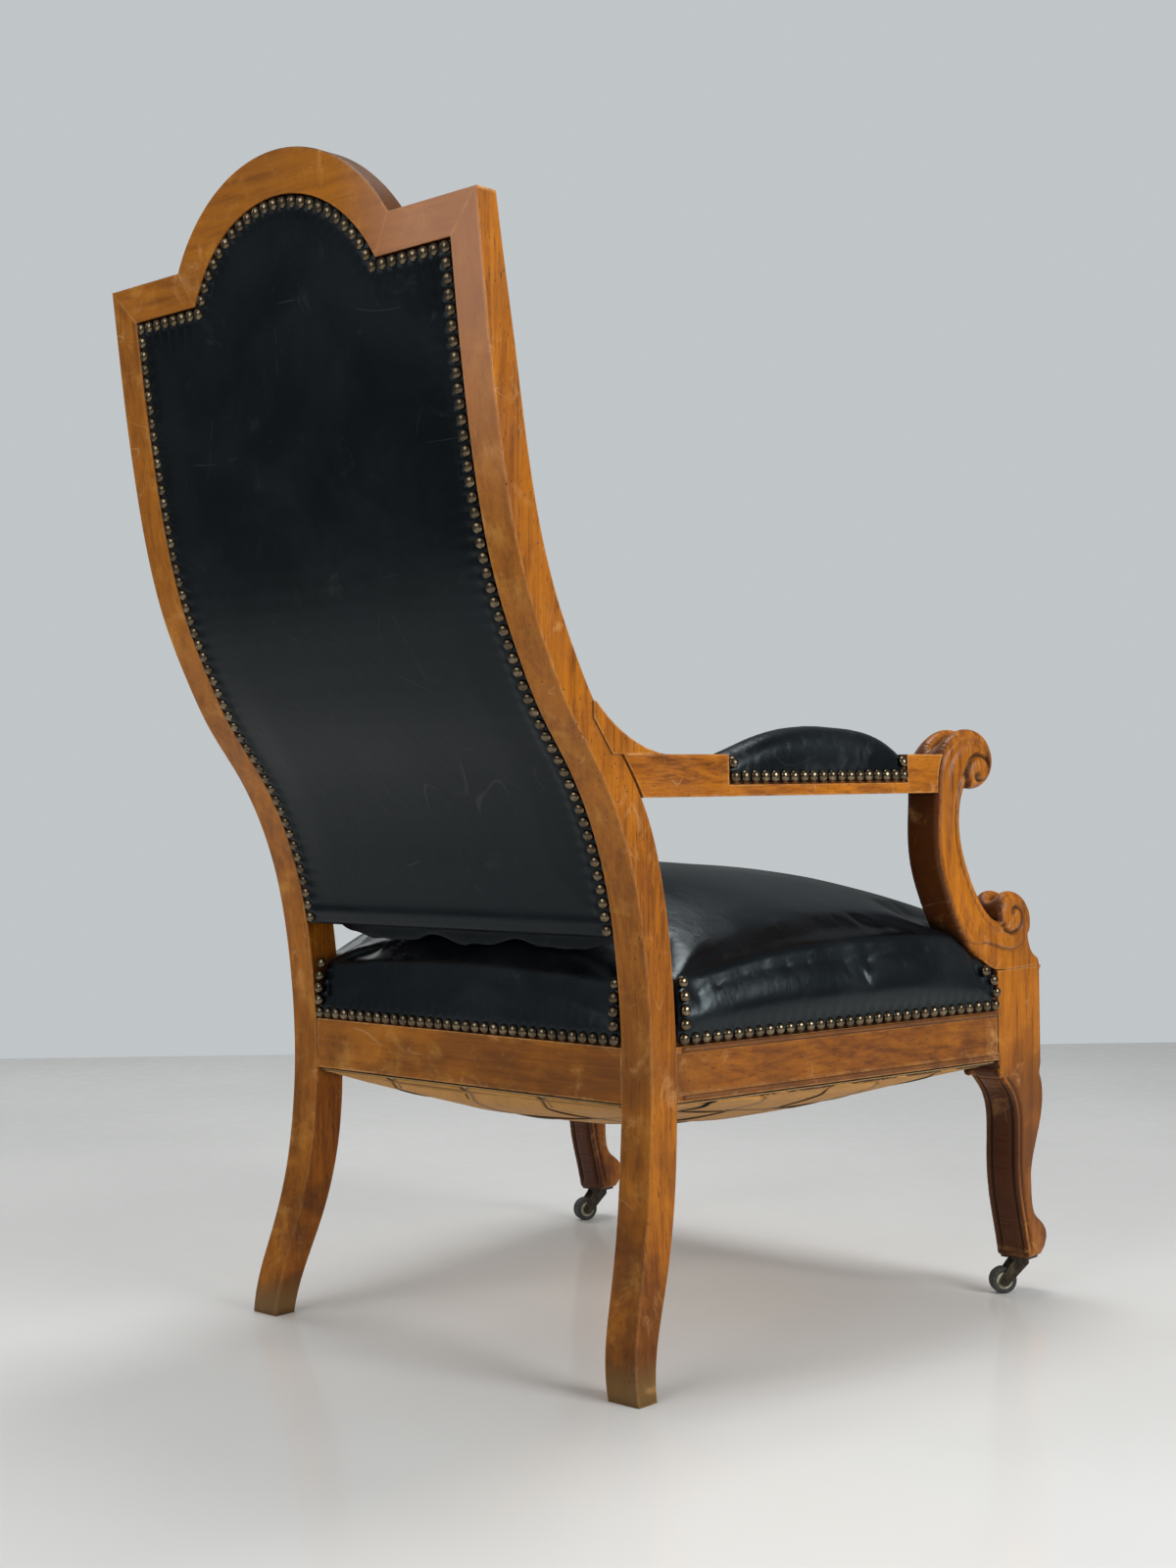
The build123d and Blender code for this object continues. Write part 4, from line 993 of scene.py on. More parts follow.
def addSkirt(sheet, surface, low):
    # The pad's sides go back to the frame; along the foot they hang in a pleated roll
    border = [edge for edge in sheet.edges if edge.is_boundary]
    start = list({vert for edge in border for vert in edge.verts})
    rear = {}
    for vert in start:
        hit = surface.ray_cast(Vector((vert.co.x * 0.995, 1, max(vert.co.z, low + 2 * mm))), ahead)[0]
        rear[vert.index] = (vert.co.copy(), hit.y if hit else vert.co.y + 12 * mm)
    origin = {vert: rear[vert.index] for vert in start}
    edges = border
    for ring in range(1, tufting["rings"] + 1):
        made = bmesh.ops.extrude_edge_only(sheet, edges=edges)["geom"]
        newVerts = [item for item in made if isinstance(item, bmesh.types.BMVert)]
        olds = {}
        for vert in newVerts:
            for edge in vert.link_edges:
                other = edge.other_vert(vert)
                if other in origin:
                    olds[vert] = origin[other]
        share = ring / tufting["rings"]
        for vert in newVerts:
            first, back = olds[vert]
            vert.co = Vector((first.x, first.y + (back - first.y) * share, first.z))
            if first.z < low + 8 * mm:
                bulge = math.sin(math.pi * share) ** 0.7 * tufting["droop"]
                pleat = 1 - 0.45 * abs(math.sin(first.x * 24)) ** 6
                pleat *= 1 + 0.25 * noise.noise(Vector((first.x * 30, share * 2, 0)))
                vert.co.z -= bulge * pleat * smooth(0, 30 * mm, 0.225 - abs(first.x))
        origin = olds
        edges = [item for item in made if isinstance(item, bmesh.types.BMEdge)
                 and all(vert in olds for vert in item.verts)]
    sheet.faces.ensure_lookup_table()
    bmesh.ops.holes_fill(sheet, edges=edges)


def segmentDistance(point, start, end):
    run = end - start
    share = min(max((point - start).dot(run) / run.length_squared, 0.0), 1.0)
    return (point - start - run * share).length


def foldLines(places):
    # Diagonal folds between neighbours, then folds from the outer buttons to the border
    flat = [Vector((p.x, 0, p.z)) for p in places]
    rows = sorted({round(p.z, 2) for p in flat})
    pitch = rows[1] - rows[0] if len(rows) > 1 else 0.1
    lines = []
    for start in flat:
        for end in flat:
            if 0.5 * pitch < end.z - start.z < 1.5 * pitch and abs(end.x - start.x) < pitch:
                lines.append((start, end))
    lowRow = min(p.z for p in flat)
    highRow = max(p.z for p in flat)
    widest = max(abs(p.x) for p in flat)
    for start in flat:
        if abs(start.z - lowRow) < 10 * mm:
            lines.append((start, start - above * 0.2))
        if abs(start.z - highRow) < 10 * mm:
            lines.append((start, start + above * 0.3))
        if abs(abs(start.x) - widest) < 10 * mm:
            lines.append((start, start + Vector((math.copysign(0.2, start.x), 0, 0))))
    return lines


makeTuftedBack()
print("inside back tufted")


# Sprung seat: stuffed, covered in one hide, nailed round its foot
seat = {
    "voxel": 5 * mm, "cover": 2.7 * mm, "pressure": 3.0, "cap": 6 * mm,
    "pucker": 1.0 * mm, "puckerFade": 8 * mm, "ripple": 1.6 * mm, "fill": 0.75,
}
armPad = {
    "voxel": 3.0 * mm, "cover": 2.7 * mm, "pressure": 3.0, "cap": 2.5 * mm,
    "pucker": 0.8 * mm, "puckerFade": 6 * mm, "ripple": 0.8 * mm, "fill": 0.8,
}
nailGrip = {"height": 14 * mm, "reach": 6 * mm, "depth": 0.4 * mm}


def makePad(label, cover, stuffing, facts, nailNames, material):
    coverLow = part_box(cover)[0][2]
    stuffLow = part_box(stuffing)[0][2]
    foot = coverLow + facts["cover"]

    def seated(point):
        return Vector((point.x, point.y, foot)) if point.z < stuffLow + 0.5 * mm else point

    mesh = remeshed(stuffing, facts["voxel"], seated)
    relax(mesh, 0.5, 6)
    piece = newPiece(label, mesh, material)
    studs = studTree(*nailNames)

    def held(point):
        return 1.0 if point.z < foot + nailGrip["height"] else 0.0

    swell(piece, facts["pressure"], facts["cap"], held)

    def dress(point, normal):
        away, close, phase = nailPull(studs, point)
        free = 1 - math.exp(-away / facts["puckerFade"])
        out = facts["cover"] - puckered(facts, away, phase)
        out -= nailGrip["depth"] * bell(close, nailGrip["reach"])
        out += facts["ripple"] * noise.noise(point * 7) * free
        out += facts["ripple"] * 0.2 * noise.noise(point * 24 + Vector((3, 1, 7))) * free
        moved = point + normal * out
        moved.z = max(moved.z, coverLow)
        return moved

    subdivide(piece)
    moveAll(piece.data, dress)
    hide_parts(cover, stuffing)


def subdivide(piece):
    finer = piece.modifiers.new("finer", "SUBSURF")
    finer.levels = 1
    finer.render_levels = 1
    applyModifiers(piece)


seatNails = ("seat_rear_nails", "seat_front_nails", "seat_side_nails_left", "seat_side_nails_right")
makePad("sprungSeat", "seat_cover", "seat_stuffing", seat, seatNails, materials["seatLeather"])
for hand in ("left", "right"):
    makePad(
        "armPad_" + hand, "arm_pad_cover_" + hand, "arm_pad_stuffing_" + hand, armPad,
        ("arm_pad_nails_" + hand,), materials["padLeather"],
    )
print("seat and arm pads stuffed")


# Webbing: straps woven over and under, sagging with age
webbing = {
    "cover": 0.95,
    "lengthwise": 6,
    "crosswise": 7,
    "thickness": 1.3 * mm,
    "weave": 1.0 * mm,
    "margin": 2 * mm,
    "turnIn": 15 * mm,
    "columns": 16,
    "run": 6 * mm,
    "wander": 1.4 * mm,
    "edgeDrop": 0.8 * mm,
    "strapUnderRail": 2.0 * mm,
    "liningStep": 9 * mm,
    "liningThickness": 1 * mm,
    "liningRise": 3.3 * mm,
    "liningUnderRail": 0.3 * mm,
}


sideRails = ["side_seat_rail_left", "side_seat_rail_right"]


def makeWebbing():
    name = "seat_webbing"
    surface = treeOf(name)
    rim = rimFinder(rimLoop(name, -above), 2)
    low, high = (Vector(corner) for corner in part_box(name))
    makeLining(name, surface, rim, high.z)
    margin = webbing["margin"]
    for along, count in ((1, webbing["lengthwise"]), (0, webbing["crosswise"])):
        across = 1 - along
        pitch = (high[across] - low[across] - 2 * margin) / count
        for index in range(count):
            middle = low[across] + margin + pitch * (index + 0.5)
            makeStrap(surface, rim, low, high, along, middle, index, pitch * webbing["cover"])


def makeLining(name, surface, rim, railFoot):
    # Hessian over the straps, its edge taken up to the foot of the rails all round
    loop = rimLoop(name, -above)
    sheet = cutSheet([(point.x, point.y) for point in loop], webbing["liningStep"])
    for vert in sheet.verts:
        spot = Vector((vert.co.x, vert.co.y, 0))
        near, edge = rim(spot)
        hit = surface.ray_cast(spot, above)[0] or near
        turned = 1 - smooth(1 * mm, webbing["turnIn"], edge)
        level = hit.z + webbing["liningRise"]
        spot.z = level + (railFoot - webbing["liningUnderRail"] - level) * turned
        vert.co = spot
    piece = newPiece("webbingLining", meshFrom(sheet, "webbingLining"), materials["hessianCloth"])
    orient(piece, above)
    thicken(piece, webbing["liningThickness"])
    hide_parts(name)
    declareSheet(piece, loop)


def strapSpan(surface, low, high, along, middle):
    # Where the node lies above this line, from end to end
    hits = []
    steps = 200
    for step in range(steps + 1):
        run = low[along] + (high[along] - low[along]) * step / steps
        spot = [0, 0, low.z - 0.1]
        spot[along] = run
        spot[1 - along] = middle
        if surface.ray_cast(Vector(spot), above)[0]:
            hits.append(run)
    return hits[0], hits[-1]


def makeStrap(surface, rim, low, high, along, middle, index, width):
    crossings = webbing["crosswise"] if along else webbing["lengthwise"]
    start, end = strapSpan(surface, low, high, along, middle)
    label = "strap_" + ("long" if along else "cross") + "_" + str(index + 1)
    shape = bmesh.new()
    recessShade = shape.verts.layers.float.new("recessShade")
    runs = round((end - start) / webbing["run"])
    columns = webbing["columns"]
    pitch = (high[along] - low[along]) / crossings
    grid = []
    for run in range(runs + 1):
        spotRun = start + (end - start) * run / runs
        row = []
        for column in range(columns + 1):
            side = middle + width * (column / columns - 0.5)
            side += webbing["wander"] * noise.noise(Vector((spotRun * 9, index * 3.1, along * 5.7)))
            spot = Vector((side, spotRun, 0)) if along else Vector((spotRun, side, 0))
            hit = surface.ray_cast(Vector((spot.x, spot.y, low.z - 0.1)), above)[0]
            near, edge = rim(spot)
            if hit is None:
                hit = near
                spot.x, spot.y = near.x, near.y
                edge = 0.0
            phase = math.pi * (spotRun - low[along]) / pitch + math.pi * (index + along)
            spot.z = hit.z + webbing["weave"] * (1 + math.sin(phase))
            spot.z -= webbing["edgeDrop"] * (column in (0, columns))
            turned = 1 - smooth(1 * mm, webbing["turnIn"], edge)
            spot.z += (high.z - webbing["strapUnderRail"] - spot.z) * turned
            row.append(shape.verts.new(spot))
            # the edge columns take painted shade, the dark gaps between the straps
            row[-1][recessShade] = float(column in (0, columns))
        grid.append(row)
    joinRows(shape, grid)
    piece = newPiece(label, meshFrom(shape, label), materials["webCloth"])
    orient(piece, above)
    thicken(piece, webbing["thickness"])
    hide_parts("seat_webbing")
    loop = [Vector((0, 0, 0)), Vector((width, end - start, 0))]
    declareSheet(piece, loop)


makeWebbing()
print("webbing strained")


# Nails: high domed heads, each a little out of true
nailHeads = {
    "radius": 6.3 * mm, "height": 5.4 * mm, "rings": 6, "sides": 18,
    "dent": 0.25 * mm, "lean": 0.09, "uneven": 0.03,
}


def studPlaces(name):
    # The foot of each nail head and the way it points
    shape = welded(name)
    places = []
    for shell in shells(shape.faces, facesBeside):
        flats = {}
        for face in shell:
            key = tuple(round(part, 2) for part in face.normal)
            flats.setdefault(key, []).append(face)
        foot = max(flats.values(), key=lambda faces: sum(face.calc_area() for face in faces))
        area = sum(face.calc_area() for face in foot)
        middle = sum((face.calc_center_median() * face.calc_area() for face in foot), Vector()) / area
        places.append((middle, -foot[0].normal.copy()))
    shape.free()
    return places


def makeNails(name):
    facts = nailHeads
    shape = bmesh.new()
    for foot, aim in studPlaces(name):
        drift = Vector([noise.noise(spot) for spot in (foot * 91, foot * 73 + above, foot * 57 + behind)])
        aim = (aim + drift * facts["lean"] * 2).normalized()
        turn = aim.to_track_quat("Z", "X")
        grown = 1 + facts["uneven"] * noise.noise(foot * 133)
        rows = []
        for ring in range(facts["rings"]):
            angle = math.pi / 2 * ring / facts["rings"]
            wide = facts["radius"] * math.cos(angle) ** 0.85 * grown
            tall = facts["height"] * math.sin(angle)
            row = []
            for side in range(facts["sides"]):
                spin = 2 * math.pi * side / facts["sides"]
                spot = Vector((wide * math.cos(spin), wide * math.sin(spin), tall))
                spot += spot.normalized() * facts["dent"] * noise.noise(spot * 320 + foot * 50)
                row.append(shape.verts.new(foot + turn @ spot))
            rows.append(row)
        top = shape.verts.new(foot + turn @ Vector((0, 0, facts["height"])))
        under = shape.verts.new(foot)
        count = facts["sides"]
        joinRows(shape, rows, closed=True)
        for side in range(count):
            shape.faces.new((rows[-1][side], rows[-1][(side + 1) % count], top))
            shape.faces.new((rows[0][(side + 1) % count], rows[0][side], under))
    piece = newPiece("heads_" + name, meshFrom(shape, name), materials["agedBrass"])
    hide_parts(name)


# Worn beads along the side and front rails, top and bottom
railBead = {
    "radius": 3.0 * mm, "proud": 1.5 * mm, "topAt": 3.4 * mm, "bottomAt": 4.2 * mm,
    "sides": 14, "steps": 60, "endGap": 1 * mm, "uneven": 0.35 * mm,
    "railTop": 331 * mm,  # upper edge of the wood that shows below the leather
}


def makeRailBeads(name):
    surface = treeOf(name)
    low, high = (Vector(corner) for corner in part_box(name))
    sideways = name.startswith("side")
    along = 1 if sideways else 0
    outward = Vector((math.copysign(1, low.x + high.x), 0, 0)) if sideways else ahead
    railTop = railBead["railTop"]
    heights = [railTop - railBead["topAt"], low.z + railBead["bottomAt"]]
    shape = bmesh.new()
    recessShade = shape.verts.layers.float.new("recessShade")
    for height in heights:
        inwards = -1 if height > (low.z + railTop) / 2 else 1
        rows = []
        gap = railBead["endGap"]
        for step in range(railBead["steps"] + 1):
            spot = (low + high) / 2 + outward * 0.5
            spot[along] = low[along] + gap + (high[along] - low[along] - 2 * gap) * step / railBead["steps"]
            spot.z = height
            hit = surface.ray_cast(spot, -outward)[0]
            if hit is None:
                continue
            wear = railBead["uneven"] * noise.noise(Vector((spot[along] * 18, height * 40, 0)))
            middle = hit + outward * (railBead["proud"] - railBead["radius"] + wear)
            row = []
            for side in range(railBead["sides"]):
                spin = 2 * math.pi * side / railBead["sides"]
                lift = above * math.sin(spin) + outward * math.cos(spin)
                row.append(shape.verts.new(middle + lift * railBead["radius"]))
                # the side of the bead that turns towards the rail takes painted shade
                row[-1][recessShade] = smooth(0.55, 0.95, math.sin(spin) * inwards)
            rows.append(row)
        joinRows(shape, rows, closed=True)
        for row in (rows[0], rows[-1]):
            shape.faces.new(row)
    bmesh.ops.recalc_face_normals(shape, faces=shape.faces[:])
    piece = newPiece("beads_" + name, meshFrom(shape, name), materials["woodBead"])


for railName in sideRails + ["front_seat_rail"]:
    makeRailBeads(railName)

for nailRow in [name for name in nodes if name.endswith("_nails") or "_nails_" in name]:
    makeNails(nailRow)
print("nails driven")


# Carved members: both side faces and the edge between them, drawn from a node's own side outline
normalReach = 8  # points on each side that a normal of the outline is taken over


def lineNormals(points):
    # For each point of a closed (y, z) outline, the direction that leaves the wood
    area = sum(a[0] * b[1] - b[0] * a[1] for a, b in zip(points, points[1:] + points[:1]))
    sense = 1 if area > 0 else -1
    normals = []
    for index in range(len(points)):
        before = points[index - normalReach]
        after = points[(index + normalReach) % len(points)]
        run = (after[0] - before[0], after[1] - before[1])
        size = math.hypot(*run) or 1.0
        normals.append((run[1] / size * sense, -run[0] / size * sense))
    return normals


def outlineFinder(loop, step):
    dense = loopPoints([Vector((0, point.y, point.z)) for point in loop], step)
    normals = lineNormals([(point.y, point.z) for point in dense])
    tree = pointTree(dense)

    def find(y, z):
        index, away = tree.find(Vector((0, y, z)))[1:]
        return away, normals[index], dense[index]

    return find


def carvedMember(name, hand, step, columns, widthAt, carve, material, label, extras=None):
    # carve(y, z, away, normal, side) gives how far a point sinks in from the outline and from the side,
    # and how darkly painted shade lies on it in grooves and recesses
    outward = Vector((hand, 0, 0))
    loop = rimLoop(name, outward)
    find = outlineFinder(loop, 0.5 * mm)
    sheet = cutSheet([(point.y, point.z) for point in loop], step)
    bmesh.ops.remove_doubles(sheet, verts=sheet.verts, dist=step * 0.4)
    sheet.verts.index_update()
    built = bmesh.new()
    recessShade = built.verts.layers.float.new("recessShade")

    def place(y, z, side):
        away, normal, spot = find(y, z)
        inner, outer = widthAt(y)
        half = (outer - inner) / 2
        sink, lower, dark = carve(y, z, away, normal, side)
        edgeLower = lower
        if abs(side) < 1:
            edgeLower = carve(spot.y, spot.z, 0.0, normal, math.copysign(1, side))[1]
        across = (inner + outer) / 2 + side * (half - edgeLower)
        vert = built.verts.new(Vector((hand * across, y - normal[0] * sink, z - normal[1] * sink)))
        vert[recessShade] = dark
        return vert

    made = {}
    for side in (1, -1):
        made[side] = {vert.index: place(vert.co.x, vert.co.y, side) for vert in sheet.verts}
        for face in sheet.faces:
            built.faces.new([made[side][vert.index] for vert in face.verts])
    bands = {}

    def bandAt(vert):
        # The row of vertices across the edge, from the inner side face to the outer one
        if vert.index not in bands:
            between = [place(vert.co.x, vert.co.y, side) for side in columns]
            bands[vert.index] = [made[-1][vert.index]] + between + [made[1][vert.index]]
        return bands[vert.index]

    for edge in sheet.edges:
        if edge.is_boundary:
            joinRows(built, [bandAt(vert) for vert in edge.verts])
    sheet.free()
    bmesh.ops.recalc_face_normals(built, faces=built.faces[:])
    if extras:
        extras(built)
    piece = newPiece(label, meshFrom(built, label), material)
    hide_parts(name)


def spiralGroove(along, rise, spiral):
    # Depth of a groove that winds in to the eye of a volute
    forward, up, start, sense, turns = spiral["path"]
    away = math.hypot(along - forward, rise - up)
    if away > turns[0][1] + 8:
        return 0.0
    angle = (math.degrees(math.atan2(rise - up, along - forward)) - start) * sense % 360
    deepest = 0.0
    for travelled in (angle, angle + 360):
        for (low, lowRadius), (high, highRadius) in zip(turns, turns[1:]):
            if low <= travelled < high:
                radius = lowRadius + (highRadius - lowRadius) * (travelled - low) / (high - low)
                ends = smooth(0, 12, travelled) * smooth(turns[-1][0], turns[-1][0] - 50, travelled)
                depth = spiral["depth"] * ends * bell(away - radius, spiral["width"])
                deepest = max(deepest, depth)
    return deepest


# Scrolled arm supports. Millimetres forwards and upwards from the rear foot of the scroll
scroll = {
    "step": 1.5 * mm,
    "upper": {
        # eye forwards and up, start angle, turning sense, then angle travelled and radius
        "path": (71, 222, 235, -1, [
            (0, 25), (60, 21.5), (130, 19.5), (215, 17.5), (300, 13), (380, 9.5), (440, 6),
        ]),
        "depth": 5.0,
        "width": 2.7,
        "dome": 17,
    },
    "lower": {
        "path": (131, 58, 186, 1, [(0, 27), (45, 20.5), (90, 16.5), (180, 13), (270, 11), (360, 7)]),
        "depth": 4.6,
        "width": 2.6,
        "dome": 14,
    },
    # the lower edge of the ribbon round the lower eye: angle and radius
    "hem": [
        (194, 105), (198, 82), (203, 64), (210, 53), (220, 46),
        (240, 39), (266, 34.5), (294, 33), (320, 34), (345, 39),
    ],
    "proud": 2.2,
    "rimRound": 8.0,
    "fluteAt": 14.0,
    "fluteWidth": 4.6,
    "fluteDepth": 2.4,
    "rollDepth": 6.5,
    "grooveDepth": 4.0,
    "grooveShare": 0.2,  # of the half thickness
    "arris": 2.2,
    "edgeFade": 13,
    "domeRise": 2.6,
    "thickness": 41 * mm,
    "outerGuess": 350 * mm,  # where no ray meets the solid
    "columns": [-0.97, -0.93, -0.87, -0.8, -0.7, -0.6, -0.5, -0.4, -0.32, -0.26, -0.2, -0.13, -0.06],
}


def hemReach(angle):
    for (low, lowRadius), (high, highRadius) in zip(scroll["hem"], scroll["hem"][1:]):
        if low <= angle < high:
            return lowRadius + (highRadius - lowRadius) * (angle - low) / (high - low)
    return None


def makeSupport(hand):
    name = "arm_support_" + ("left" if hand > 0 else "right")
    lowCorner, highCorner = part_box(name)
    rearY, footZ = highCorner[1], lowCorner[2]
    shell = welded(name)
    outerAt = BVHTree.FromBMesh(shell)
    shell.free()
    widths = {}

    def widthAt(y):
        key = round(y / (2 * mm))
        if key not in widths:
            sizes = []
            for z in range(12):
                spot = Vector((hand, y, lowCorner[2] + (highCorner[2] - lowCorner[2]) * (z + 0.5) / 12))
                hit = outerAt.ray_cast(spot, Vector((-hand, 0, 0)))[0]
                if hit:
                    sizes.append(abs(hit.x))
            outer = max(sizes) if sizes else widths.get(key - 1, (0, scroll["outerGuess"]))[1]
            widths[key] = (outer - scroll["thickness"], outer)
        return widths[key]

    def carve(y, z, away, normal, side):
        along, rise, off = (rearY - y) / mm, (z - footZ) / mm, away / mm
        facing = math.degrees(math.atan2(normal[1], normal[0]))
        rolled = smooth(25, 60, facing) if facing >= 0 else smooth(-75, -100, facing)
        foot = smooth(4, 16, rise)
        lowFront = 1 - smooth(36, 24, rise) * smooth(140, 156, along)
        rolled *= foot * lowFront
        size = abs(side)
        roll = min(abs((size - 0.6) / 0.4), 1.0)
        sink = rolled * scroll["rollDepth"] * (1 - math.sqrt(1 - 0.9 * roll * roll))
        if size < scroll["grooveShare"]:
            trough = 1 - (size / scroll["grooveShare"]) ** 2
            sink = rolled * (scroll["rollDepth"] * 0.684 + scroll["grooveDepth"] * trough)
        sink += (1 - rolled) * foot * scroll["arris"] * max((size - 0.72) / 0.28, 0.0) ** 2
        sink *= max(1 - off / scroll["edgeFade"], 0.0)
        lower = 0.0
        # painted shade down the groove in the middle of the rolled edge
        dark = rolled * 0.9 * smooth(0.16, 0.04, size)
        if size > 0.999:
            eyeAlong, eyeRise = scroll["lower"]["path"][:2]
            angle = math.degrees(math.atan2(rise - eyeRise, along - eyeAlong)) % 360
            hem = hemReach(angle)
            beyond = math.hypot(along - eyeAlong, rise - eyeRise) - hem if hem else -50.0
            ribbon = smooth(1.2, -1.2, beyond)
            lower -= scroll["proud"] * ribbon
            lower += 1.2 * bell(beyond - 1.8, 1.8)
            rim = max(1 - off / scroll["rimRound"], 0.0)
            lower += foot * 0.36 * scroll["rimRound"] * rim * rim
            eyes = (scroll["upper"], scroll["lower"])
            heads = [(*eye["path"][:2], eye["dome"]) for eye in eyes]
            clear = min(math.hypot(along - a, rise - b) - radius for a, b, radius in heads)
            channel = bell(off - scroll["fluteAt"], scroll["fluteWidth"])
            lower += scroll["fluteDepth"] * channel * smooth(2, 8, clear) * ribbon * smooth(20, 50, rise)
            for a, b, radius in heads:
                reach = math.hypot(along - a, rise - b) / radius
                if reach < 1:
                    lower -= scroll["domeRise"] * (1 - reach * reach)
            cuts = [spiralGroove(along, rise, eye) / eye["depth"] for eye in eyes]
            lower += sum(cut * eye["depth"] for cut, eye in zip(cuts, eyes))
            hemLine = bell(beyond - 1.0, 1.2) * smooth(44, 30, rise)
            # painted shade in the spiral grooves and along the hem of the ribbon
            dark = max(smooth(0.45, 0.95, max(cuts)), 0.8 * hemLine)
        return sink * mm, lower * mm, dark

    columns = scroll["columns"] + [0.0] + [-part for part in reversed(scroll["columns"])]
    label = "scrollSupport_" + ("left" if hand > 0 else "right")
    carvedMember(name, hand, scroll["step"], columns, widthAt, carve, materials["woodCarved"], label)


# Front legs: a bead between two grooves down each rear corner, from a small ball to the foot
legCarving = {
    "step": 1.6 * mm,
    "beadAt": 7.2,
    "grooveWidth": 2.2,
    "grooveDepth": 3.6,
    "cornerRound": 5.0,
    "beadTop": 0.645,  # heights here are shares of the leg's
    "steps": (0.700, 0.672),
    "stepWidth": 0.0035,
    "stepDepth": 1.3,
    "ball": 5.2 * mm,
    "ballRise": 0.652,
    "ballIn": 2.5 * mm,
    "ballBack": 3.0 * mm,
    "edgeRun": [0.0, 0.8, 1.6, 2.5, 3.5, 4.5, 5.3, 6.1, 6.8, 7.5, 8.2, 9.0, 10.0, 12.0, 17.0, 24.0, 32.0],
}


def makeLeg(hand):
    name = "front_leg_" + ("left" if hand > 0 else "right")
    low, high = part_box(name)
    inner, outer = sorted((abs(low[0]), abs(high[0])))
    height = high[2] - low[2]
    half = (outer - inner) / 2 / mm

    def carve(y, z, away, normal, side):
        share = (z - low[2]) / height
        rear = smooth(0.1, 0.45, normal[0])
        zone = smooth(0.0, 0.05, share) * smooth(legCarving["beadTop"], legCarving["beadTop"] - 0.02, share)
        off = away / mm
        run = (1 - abs(side)) * half
        onFace = run < 0.001 * half
        cut = bell((off if onFace else run) - legCarving["beadAt"], legCarving["grooveWidth"])
        groove = legCarving["grooveDepth"] * cut * rear * zone
        # painted shade in the grooves beside the bead
        dark = smooth(0.3, 0.9, cut) * rear * zone
        corner = legCarving["cornerRound"]
        top = smooth(high[2], high[2] - 6 * mm, z)
        sink = 0.0
        lower = 0.0
        if onFace:
            lower = groove + 0.3 * corner * max(1 - off / corner, 0.0) ** 2 * top
        else:
            step = sum(bell(share - at, legCarving["stepWidth"]) for at in legCarving["steps"])
            sink = groove + legCarving["stepDepth"] * step * rear
            # painted shade in the steps at the top as well
            dark = max(dark, 0.7 * step * rear)
        sink += 0.3 * corner * max(1 - run / corner, 0.0) ** 2 * top * max(1 - off / 8, 0.0)
        return sink * mm, lower * mm, dark

    def addBalls(built):
        spotZ = low[2] + height * legCarving["ballRise"]
        rear = high[1] - legCarving["ballBack"]
        for across in (inner + legCarving["ballIn"], outer - legCarving["ballIn"]):
            made = bmesh.ops.create_uvsphere(built, u_segments=24, v_segments=14, radius=legCarving["ball"])
            for vert in made["verts"]:
                vert.co += Vector((hand * across, rear, spotZ))

    edges = [-(1 - run / half) for run in legCarving["edgeRun"][1:] if run < half]
    columns = edges + [0.0] + [-part for part in reversed(edges)]
    label = "carvedLeg_" + ("left" if hand > 0 else "right")
    carvedMember(name, hand, legCarving["step"], columns, lambda y: (inner, outer), carve,
                 materials["woodCarved"], label, addBalls)


for hand in (1, -1):
    makeSupport(hand)
    makeLeg(hand)
print("supports and legs carved")

# Plain pale floor, pale surround and soft lamps
studio = {
    "floorHalf": 2.33,
    "floorColour": (0.77, 0.765, 0.745, 1),
    "floorDeep": 0.93,
    "wallColour": (0.53, 0.56, 0.575, 1),
    "ambient": 0.58,
    "mirrored": 0.34,
    "lamps": [
        # name, place, size, power
        ("sideLamp", (-3.9, -0.4, 2.0), 1.8, 115.0),
        ("rearLamp", (0.3, 4.0, 2.8), 3.4, 74.0),
        ("topLamp", (0.3, -0.6, 4.2), 1.4, 72.0),
        ("farLamp", (3.4, -0.4, 3.0), 2.4, 35.0),
    ],
}


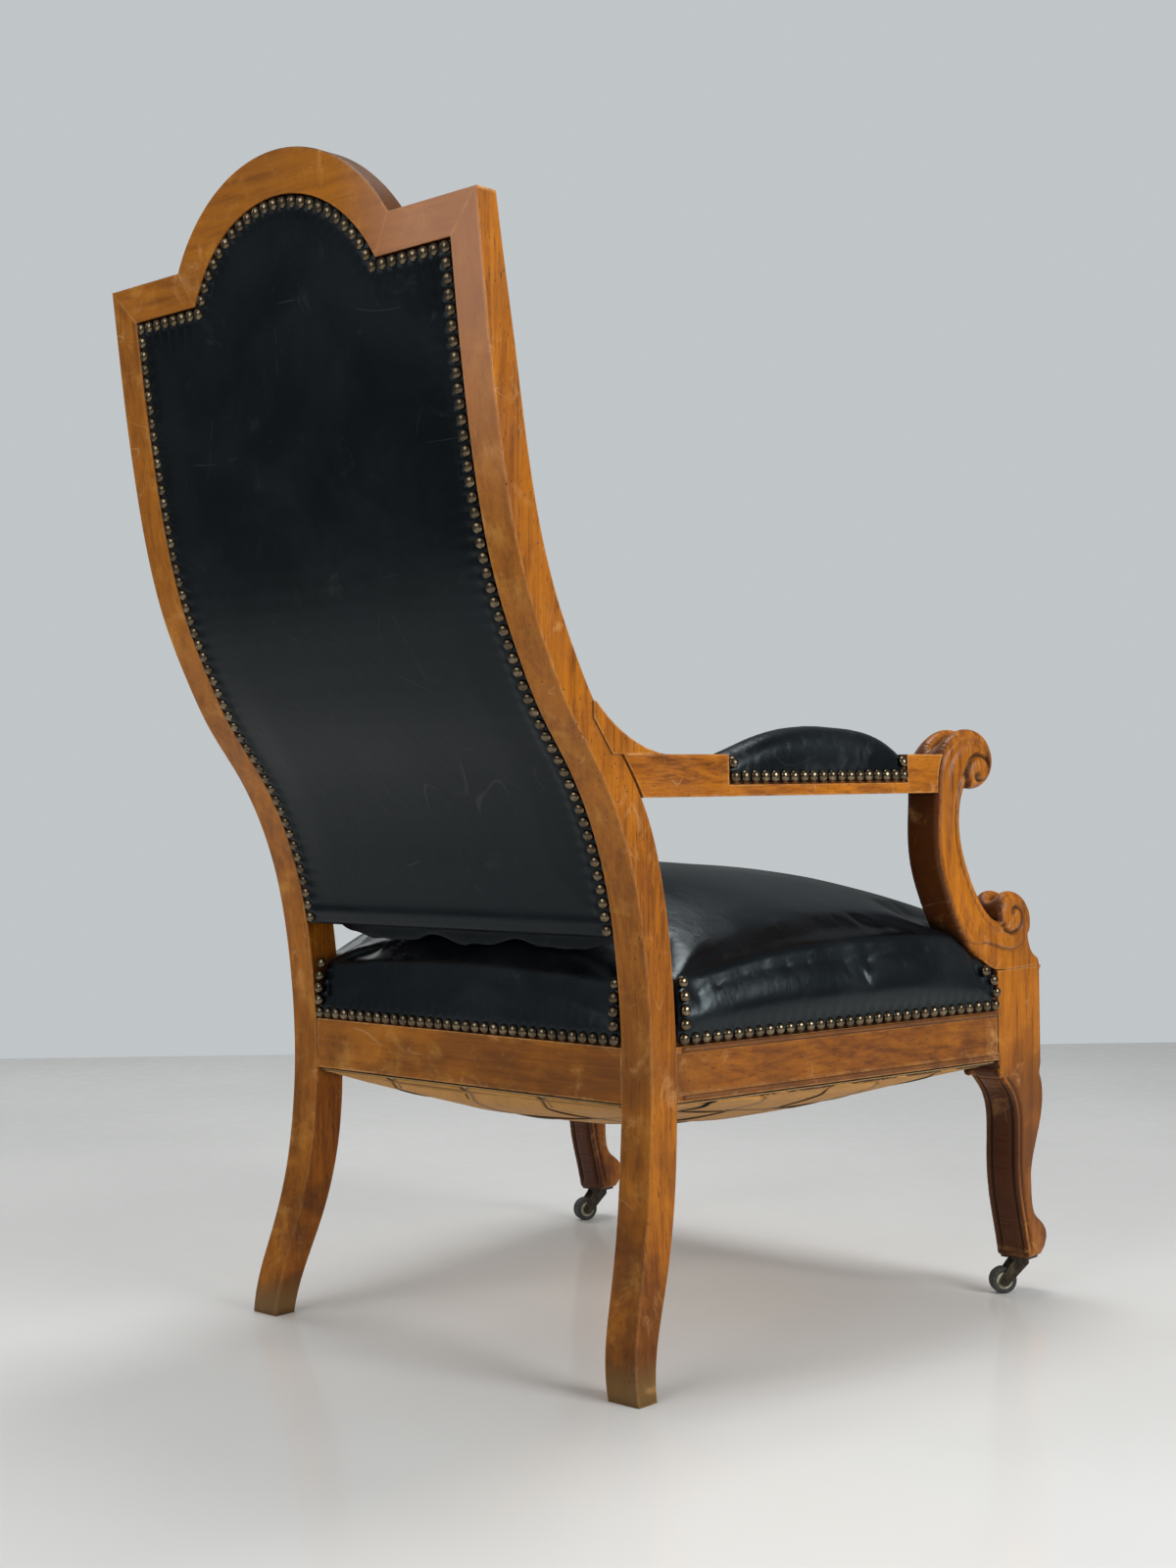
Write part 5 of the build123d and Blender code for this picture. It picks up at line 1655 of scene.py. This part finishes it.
def makeFloor():
    shape = bmesh.new()
    half = studio["floorHalf"]
    turn = Matrix.Rotation(-shot["yaw"], 3, "Z")
    corners = [turn @ Vector((x * half, y * half, 0)) for x, y in ((-1, -1), (1, -1), (1, 1), (-1, 1))]
    shape.faces.new([shape.verts.new(corner) for corner in corners])
    bmesh.ops.subdivide_edges(shape, edges=shape.edges[:], cuts=20, use_grid_fill=True)
    material, tree, shader, where = newMaterial("paleFloor")
    soft = cloud(tree, where, 1.3, 3.0, 0.5)
    fine = cloud(tree, where, 30.0, 4.0, 0.6)
    colour = studio["floorColour"]
    deep = tuple(part * studio["floorDeep"] for part in colour[:3]) + (1,)
    tree.links.new(mixColour(tree, remap(tree, soft, 0.3, 0.7), deep, colour), shader.inputs["Base Color"])
    tree.links.new(remap(tree, fine, 0.3, 0.7, 0.09, 0.16), shader.inputs["Roughness"])
    shader.inputs["Specular IOR Level"].default_value = 0.3
    floor = bpy.data.objects.new("paleFloor", meshFrom(shape, "paleFloor"))
    scene.collection.objects.link(floor)
    floor.data.materials.append(material)
    floor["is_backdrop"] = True


def makeWorld():
    world = bpy.data.worlds.new("paleRoom")
    world.use_nodes = True
    scene.world = world
    tree = world.node_tree
    tree.nodes.clear()
    path = addNode(tree, "LightPath").outputs
    mirrored = remap(tree, path["Is Glossy Ray"], 0.0, 1.0, studio["ambient"], studio["mirrored"])
    strength = calc(tree, "MAXIMUM", mirrored, path["Is Camera Ray"])
    shader = addNode(tree, "Background", {"Color": studio["wallColour"], "Strength": strength})
    output = addNode(tree, "OutputWorld")
    tree.links.new(shader.outputs["Background"], output.inputs["Surface"])


def makeLamps():
    target = Vector((0, 0, 0.6))
    for name, place, size, power in studio["lamps"]:
        lamp = bpy.data.lights.new(name, "AREA")
        lamp.shape = "DISK"
        lamp.size = size
        lamp.energy = power
        holder = bpy.data.objects.new(name, lamp)
        scene.collection.objects.link(holder)
        holder.location = place
        holder.rotation_euler = (target - Vector(place)).to_track_quat("-Z", "Y").to_euler()


makeFloor()
makeWorld()
makeLamps()
scene.view_settings.view_transform = "Standard"
print("floor and lamps set")

plain = [[[round(part, 5) for part in corner] for corner in box] for box in (cadBox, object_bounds())]
